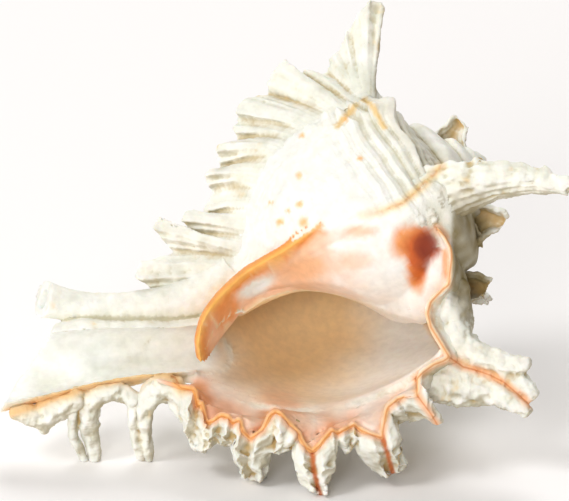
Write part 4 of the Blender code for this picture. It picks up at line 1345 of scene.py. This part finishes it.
def paint_piece(obj, surface):
    """Gives the skin its colour, and says where it is glazed and how far from a seam it is."""
    mesh = obj.data
    places = read_vectors(mesh, "co")
    normals = read_vectors(mesh, "normal")
    ends = edge_ends(mesh)
    kinds, grains = kind_and_grain(places, surface)
    along, across = grains[:, 0], grains[:, 1]
    view = as_seen(places)
    flat = view[:, :2]
    facing = normals @ np.array(NEAR)
    folded_over = (kinds == LIP_OUTSIDE) & inside_outline(flat, LIP_OUTLINE) & (facing > 0)
    kinds[folded_over] = LIP_INSIDE
    wide = noise_at(places, 14.0, 5)
    blur = noise_at(places, 5.0, 6)
    fine = noise_at(places, 1.6, 7)
    # Painted shade: places are evened out to find small hollows and wide gutters, which are painted
    # darker.
    worn = places.copy()
    for _ in range(SMALL_ROUNDS):
        worn = neighbour_mean(worn, ends)
    cavity = ((worn - places) * normals).sum(axis=1) / MM
    for _ in range(WIDE_ROUNDS):
        worn = neighbour_mean(worn, ends)
    gutter = ((worn - places) * normals).sum(axis=1) / MM
    shaded_side = normals @ np.array(SHADED_SIDE)

    paint = np.tile(CREAM, (len(places), 1))
    # Painted shade: the cream is whiter away from small hollows and olive-grey in them.
    paint = mix(paint, WHITE, 0.45 + 0.8 * wide - 0.9 * cavity)
    paint = mix(paint, GREEN_GREY, 0.15 + 0.5 * wide + 0.3 * blur)
    paint = mix(paint, OLIVE, 0.04 + 0.6 * ease(cavity + 0.06 * blur, 0.06, 0.6) + 0.1 * blur)
    # Painted shade: ochre in the wide gutters of the chalky fronds and outer lip, less on the frill.
    chalk = np.isin(kinds, (FROND, FRILL, LIP_OUTSIDE))
    gutter_shade = (chalk - 0.6 * (kinds == FRILL)) * ease(gutter + 0.4 * blur, -0.1, 1.3)
    paint = mix(paint, OCHRE_SHADE, 0.9 * gutter_shade)
    # Painted shade: umber on the chalky sides that face down and to the right.
    paint = mix(paint, UMBER_SHADE, chalk * 0.6 * ease(shaded_side + 0.3 * blur, -0.2, 0.6))
    # Painted shade: umber on the ribbed front of the whorl, darker between the ribs.
    rib_shade = (kinds == WHORL) * (along > -292) * (along < -208) * (1 - ease(across, 2.4, 4.4))
    paint = mix(paint, UMBER_SHADE, rib_shade * (0.22 + 0.5 * ease(gutter + 0.3 * blur, -0.2, 0.8)))
    paint = mix(paint, STAIN, 0.5 * ease(fine * 0.4 + blur, 0.5, 1.0))
    whorl_face = (kinds == WHORL) & (along > GLAZE_STARTS - 8)
    clean = whorl_face * (along > -296) * (along < -196) * ease(across, 3.0, 6.0)
    paint = mix(paint, WHITE, 0.7 * clean)

    scar = off_line(flat, FRONT_SCAR)[0] + 0.9 * blur + 0.5 * fine
    on_front = view[:, 2] > 5
    broken = np.clip(0.75 + 1.2 * blur + 0.8 * fine, 0, 1) * ease(flat[:, 0], -46, -32)
    paint = mix(paint, STAIN, on_front * (1 - ease(scar, 0.3, 2.8)) * (0.35 + 0.5 * broken))
    paint = mix(paint, RUST, on_front * (1 - ease(scar + 0.3 * fine, 0.0, 0.9)) * 0.55 * broken)
    for line in CREST_STAINS:
        off = off_line(flat, line)[0] + 0.8 * fine
        paint = mix(paint, STAIN, on_front * (1 - ease(off, 0.2, 1.8)) * 0.9)
    for spot, radius in SPOTS:
        off = np.linalg.norm(flat - np.array(spot), axis=1) + 0.7 * fine + 0.6 * blur
        stained = on_front * (1 - ease(off, 0.2 * radius, 1.3 * radius))
        paint = mix(paint, YELLOW_ORANGE, stained * 0.8)

    seam_lines = (LIP_SEAM, BRANCH_SEAM, FOLD_SEAM, CANAL_SEAM)
    seams = [off_line(flat, line) for line in seam_lines]
    seam = np.min([distance for distance, side in seams], axis=0)
    near_seam = (view[:, 2] > 12) & (facing > -0.2)
    outer = np.isin(kinds, (FROND, LIP_OUTSIDE, LIP_INSIDE, CANAL, WHORL)) & near_seam
    paint = mix(paint, PEACH, outer * (1 - ease(seam + 0.5 * blur, 0.3, 2.6)) * 0.85)
    canal_lip = off_line(flat, CANAL_SEAM)[0]
    paint = mix(paint, STAIN, outer * (1 - ease(canal_lip + 0.8 * blur, 0.5, 5.0)) * 0.6)
    for slit in SLITS:
        off = off_line(flat, slit)[0] + 0.3 * fine
        paint = mix(paint, RUST, near_seam * (1 - ease(off, 0.3, 1.3)) * 0.9)

    in_front = (view[:, 2] > GLAZE_FARTHEST) & (flat[:, 0] > GLAZE_LEFT)
    in_front = in_front & (flat[:, 0] < GLAZE_RIGHT)
    edge = off_line(flat, GLAZE_EDGE)[0]
    below = above_line(flat, GLAZE_EDGE) < 0
    parietal = (kinds == WHORL) & below & in_front & (along < GLAZE_STARTS + 60)
    callus = kinds == CALLUS
    glazed = parietal | callus | np.isin(kinds, (HOLLOW, GROOVE, LIP_INSIDE))
    signed = np.where(parietal | callus, 1.0, -1.0) * edge
    wall = mix(np.tile(PINK_WHITE, (len(places), 1)), PEACH, 0.25 + 0.4 * blur)
    wall = mix(wall, WHITE, ease(flat[:, 0], -52, -40) * 0.75)
    left = 1 - ease(flat[:, 0], -66, -52)
    wall = mix(wall, PEACH, 0.75 * left)
    for middle, half_wide, half_high, turn, colour, strength in PATCHES:
        off = flat - np.array(middle)
        cos, sin = math.cos(math.radians(turn)), math.sin(math.radians(turn))
        u = (off[:, 0] * cos + off[:, 1] * sin) / half_wide
        w = (off[:, 1] * cos - off[:, 0] * sin) / half_high
        reach = np.sqrt(u * u + w * w) + 0.16 * blur + 0.05 * fine
        wall = mix(wall, colour, strength * (1 - ease(reach, 0.5, 1.1)))
    rim = 1 - ease(signed, 1.2, 4.2)
    wall = mix(wall, ORANGE, rim * left)
    wall = mix(wall, YELLOW_ORANGE, (1 - ease(signed, 0.2, 1.8)) * left)
    soft_edge = 0.5 + 3.0 * (1 - left)
    soft = ease(signed + 0.5 * fine + blur * (1 - left), -0.3, soft_edge) * (parietal | callus)
    paint = mix(paint, wall, np.maximum(softened(callus, ends, 3), soft))

    # Painted shade: the glaze inside the mouth is tan towards its depth and white towards its edges.
    deep = (flat - np.array(SHADED_DEPTH_MIDDLE)) / np.array(SHADED_DEPTH_HALF)
    deep = np.linalg.norm(deep, axis=1) + 0.08 * wide
    inside = mix(np.tile(LIP_WHITE, (len(places), 1)), DEPTH_TAN_SHADE, 1 - ease(deep, 0.45, 1.15))
    fold_line = off_line(flat, FOLD_SEAM)[0] + 1.5 * blur
    blush = (1 - ease(fold_line, 0.5, 11.0)) * (0.9 + 0.4 * wide)
    inside = mix(inside, BLUSH, blush * (1 - 0.6 * ease(flat[:, 0], -58, -40)))
    inside = mix(inside, YELLOW_ORANGE, (1 - ease(seam + 0.4 * blur, 0.2, 1.8)) * 0.7)
    canal_wall = mix(np.tile(BLUE_WHITE, (len(places), 1)), WHITE, 0.5 + wide)
    canal_wall = mix(canal_wall, GREEN_GREY, 0.1 + 0.4 * blur + 0.3 * wide)
    paint = mix(paint, canal_wall, softened(kinds == GROOVE, ends, 6))
    paint = mix(paint, inside, softened(np.isin(kinds, (HOLLOW, LIP_INSIDE)), ends, 6))

    # Painted shade: dark olive in the corner to the right of the lip.
    corner = (flat - np.array(SHADED_CORNER_MIDDLE)) / np.array(SHADED_CORNER_HALF)
    shade = (1 - ease(np.linalg.norm(corner, axis=1), 0.5, 1.15)) * ease(flat[:, 0], -14.8, -12.8)
    paint = mix(paint, DARK_OLIVE_SHADE, shade * (0.85 + 0.3 * blur))

    colours = np.ones((len(places), 4))
    colours[:, :3] = np.clip(paint, 0, 1)
    attribute = mesh.color_attributes.new("paint", "FLOAT_COLOR", "POINT")
    attribute.data.foreach_set("color", colours.reshape(-1))
    glaze = mesh.attributes.new("glaze", "FLOAT", "POINT")
    glaze.data.foreach_set("value", softened(glazed, ends, 2).astype(np.float32))
    closest = np.argmin([distance for distance, side in seams], axis=0)
    signed_seam = np.choose(closest, [distance * side for distance, side in seams])
    signed_seam[~outer & ~callus | ~near_seam | (flat[:, 0] < -112)] = 9.0
    line = mesh.attributes.new("seam_mm", "FLOAT", "POINT")
    line.data.foreach_set("value", signed_seam.astype(np.float32))


# The finish. Aragonite lime: dry and matt outside, with fine pits that scatter light, and like
# glazed porcelain, satin and slightly translucent, where the animal kept it covered.
GRIT_MM = 0.7
LUMP_MM = 3.0
CHALK_ROUGH = 0.7
GLAZE_ROUGH = 0.34
CHALK_GRIT = 0.35
GLAZE_GRIT = 0.02

lime = bpy.data.materials.new("aragonite_chalky_and_glazed")
lime.use_nodes = True
tree = lime.node_tree
shader = tree.nodes["Principled BSDF"]


def add_node(kind, settings=None, values=None, links=None):
    """Adds a node with its settings, its constant inputs and the sockets that feed it."""
    node = tree.nodes.new(kind)
    for name, value in (settings or {}).items():
        setattr(node, name, value)
    for name, value in (values or {}).items():
        node.inputs[name].default_value = value
    for name, socket in (links or {}).items():
        tree.links.new(socket, node.inputs[name])
    return node


place = add_node("ShaderNodeTexCoord").outputs["Object"]
paint = add_node("ShaderNodeAttribute", {"attribute_name": "paint"}).outputs["Color"]
glaze = add_node("ShaderNodeAttribute", {"attribute_name": "glaze"}).outputs["Fac"]
seam_mm = add_node("ShaderNodeAttribute", {"attribute_name": "seam_mm"}).outputs["Fac"]
grit = add_node(
    "ShaderNodeTexNoise",
    values={"Scale": 1 / (GRIT_MM * MM), "Detail": 3.0, "Roughness": 0.6},
    links={"Vector": place},
).outputs["Fac"]
lumps = add_node(
    "ShaderNodeTexNoise",
    values={"Scale": 1 / (LUMP_MM * MM), "Detail": 4.0, "Roughness": 0.55},
    links={"Vector": place},
).outputs["Fac"]

mottle = add_node(
    "ShaderNodeMapRange",
    values={"From Min": 0.35, "From Max": 0.65, "To Min": 0.93, "To Max": 1.03},
    links={"Value": lumps},
).outputs["Result"]
mottled = add_node(
    "ShaderNodeMix", {"data_type": "RGBA", "blend_type": "MULTIPLY"}, {0: 1.0}, {6: paint, 7: mottle}
).outputs[2]
seam_off = add_node("ShaderNodeMath", {"operation": "ABSOLUTE"}, links={0: seam_mm}).outputs[0]
on_seam = add_node(
    "ShaderNodeMapRange",
    values={"From Min": 0.05, "From Max": 0.45, "To Min": 0.65, "To Max": 0.0},
    links={"Value": seam_off},
).outputs["Result"]
seam_line = add_node(
    "ShaderNodeMix",
    {"data_type": "RGBA"},
    {7: (*SEAM_ORANGE, 1.0)},
    {0: on_seam, 6: mottled},
).outputs[2]
roughness = add_node(
    "ShaderNodeMapRange",
    values={"From Min": 0.0, "From Max": 1.0, "To Min": CHALK_ROUGH, "To Max": GLAZE_ROUGH},
    links={"Value": glaze},
).outputs["Result"]
grit_strength = add_node(
    "ShaderNodeMapRange",
    values={"From Min": 0.0, "From Max": 1.0, "To Min": CHALK_GRIT, "To Max": GLAZE_GRIT},
    links={"Value": glaze},
).outputs["Result"]
bumps = add_node(
    "ShaderNodeBump",
    values={"Distance": 0.3 * MM},
    links={"Height": grit, "Strength": grit_strength},
).outputs["Normal"]
bumps = add_node(
    "ShaderNodeBump",
    values={"Distance": 0.6 * MM},
    links={"Height": lumps, "Strength": grit_strength, "Normal": bumps},
).outputs["Normal"]
tree.links.new(seam_line, shader.inputs["Base Color"])
tree.links.new(roughness, shader.inputs["Roughness"])
tree.links.new(bumps, shader.inputs["Normal"])
shader.inputs["Metallic"].default_value = 0.0
shader.inputs["IOR"].default_value = 1.53
shader.inputs["Specular IOR Level"].default_value = 0.35
shader.inputs["Subsurface Weight"].default_value = 0.25
shader.inputs["Subsurface Radius"].default_value = (1.0, 0.7, 0.45)
shader.inputs["Subsurface Scale"].default_value = 2.0 * MM

for piece, surface in zip(pieces, surfaces):
    paint_piece(piece, surface)
    piece.data.shade_smooth()
    piece.data.materials.clear()
    piece.data.materials.append(lime)
    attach(piece, "root")
    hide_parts("murex_shell")

# The floor: a plain white sheet of paper, smooth and matt, as one flat square.
FLOOR_HALF = 3.0

bm = bmesh.new()
bmesh.ops.create_grid(bm, x_segments=1, y_segments=1, size=FLOOR_HALF)
floor = add_object("floor", bm)
paper = bpy.data.materials.new("white_paper")
paper.use_nodes = True
paper_shader = paper.node_tree.nodes["Principled BSDF"]
paper_shader.inputs["Base Color"].default_value = (*linear("#fdfbfb"), 1.0)
paper_shader.inputs["Roughness"].default_value = 0.9
floor.data.materials.append(paper)

# The lights: a big soft one above, to the left and in front, a low one from the front that
# reaches into the mouth, one behind, and a pale room all round. A row has the name, the place and
# width in m, and the power in W. Each is a disc that looks at the shell.
LIGHTS = [
    ("key", (-1.4, -0.9, 1.9), 0.9, 22.0),
    ("mouth", (-0.6, -2.2, 0.8), 1.0, 23.0),
    ("back", (0.3, 2.2, 2.6), 1.8, 52.0),
]
AIM = Vector((0.0, 0.0, 0.06))
for name, at, size, power in LIGHTS:
    light = bpy.data.lights.new(name, "AREA")
    light.shape = "DISK"
    light.size = size
    light.energy = power
    obj = bpy.data.objects.new(name, light)
    obj.location = at
    obj.rotation_euler = (AIM - Vector(at)).to_track_quat("-Z", "Y").to_euler()
    bpy.context.scene.collection.objects.link(obj)
world = bpy.data.worlds.new("pale_room")
world.use_nodes = True
world.node_tree.nodes["Background"].inputs["Color"].default_value = (1.0, 0.96, 0.9, 1)
world.node_tree.nodes["Background"].inputs["Strength"].default_value = 0.34
bpy.context.scene.world = world
bpy.context.scene.view_settings.view_transform = "Standard"

# The camera: as the photographer's, about 2 m in front and 20 degrees above. It stands where the
# apex of the spire falls on its pixel of the frame.
FRAME_WIDE, FRAME_HIGH = 569, 501
MM_PER_PIXEL = 0.354
APEX_PIXEL = (488.0, 157.0)
CAMERA_OFF = 2.0

camera = bpy.data.cameras.new("camera")
camera.sensor_width = 36
camera.lens = 36 * CAMERA_OFF / (FRAME_WIDE * MM_PER_PIXEL * MM)
camera.clip_start = 0.05
camera.clip_end = 20
to_right = (FRAME_WIDE / 2 - APEX_PIXEL[0]) * MM_PER_PIXEL
to_top = (APEX_PIXEL[1] - FRAME_HIGH / 2) * MM_PER_PIXEL
camera_object = bpy.data.objects.new("camera", camera)
camera_object.location = seen(to_right, to_top, CAMERA_OFF / MM)
camera_object.rotation_euler = (math.radians(90) - VIEW_TILT, 0, 0)
bpy.context.scene.collection.objects.link(camera_object)
bpy.context.scene.camera = camera_object

bpy.context.view_layer.update()
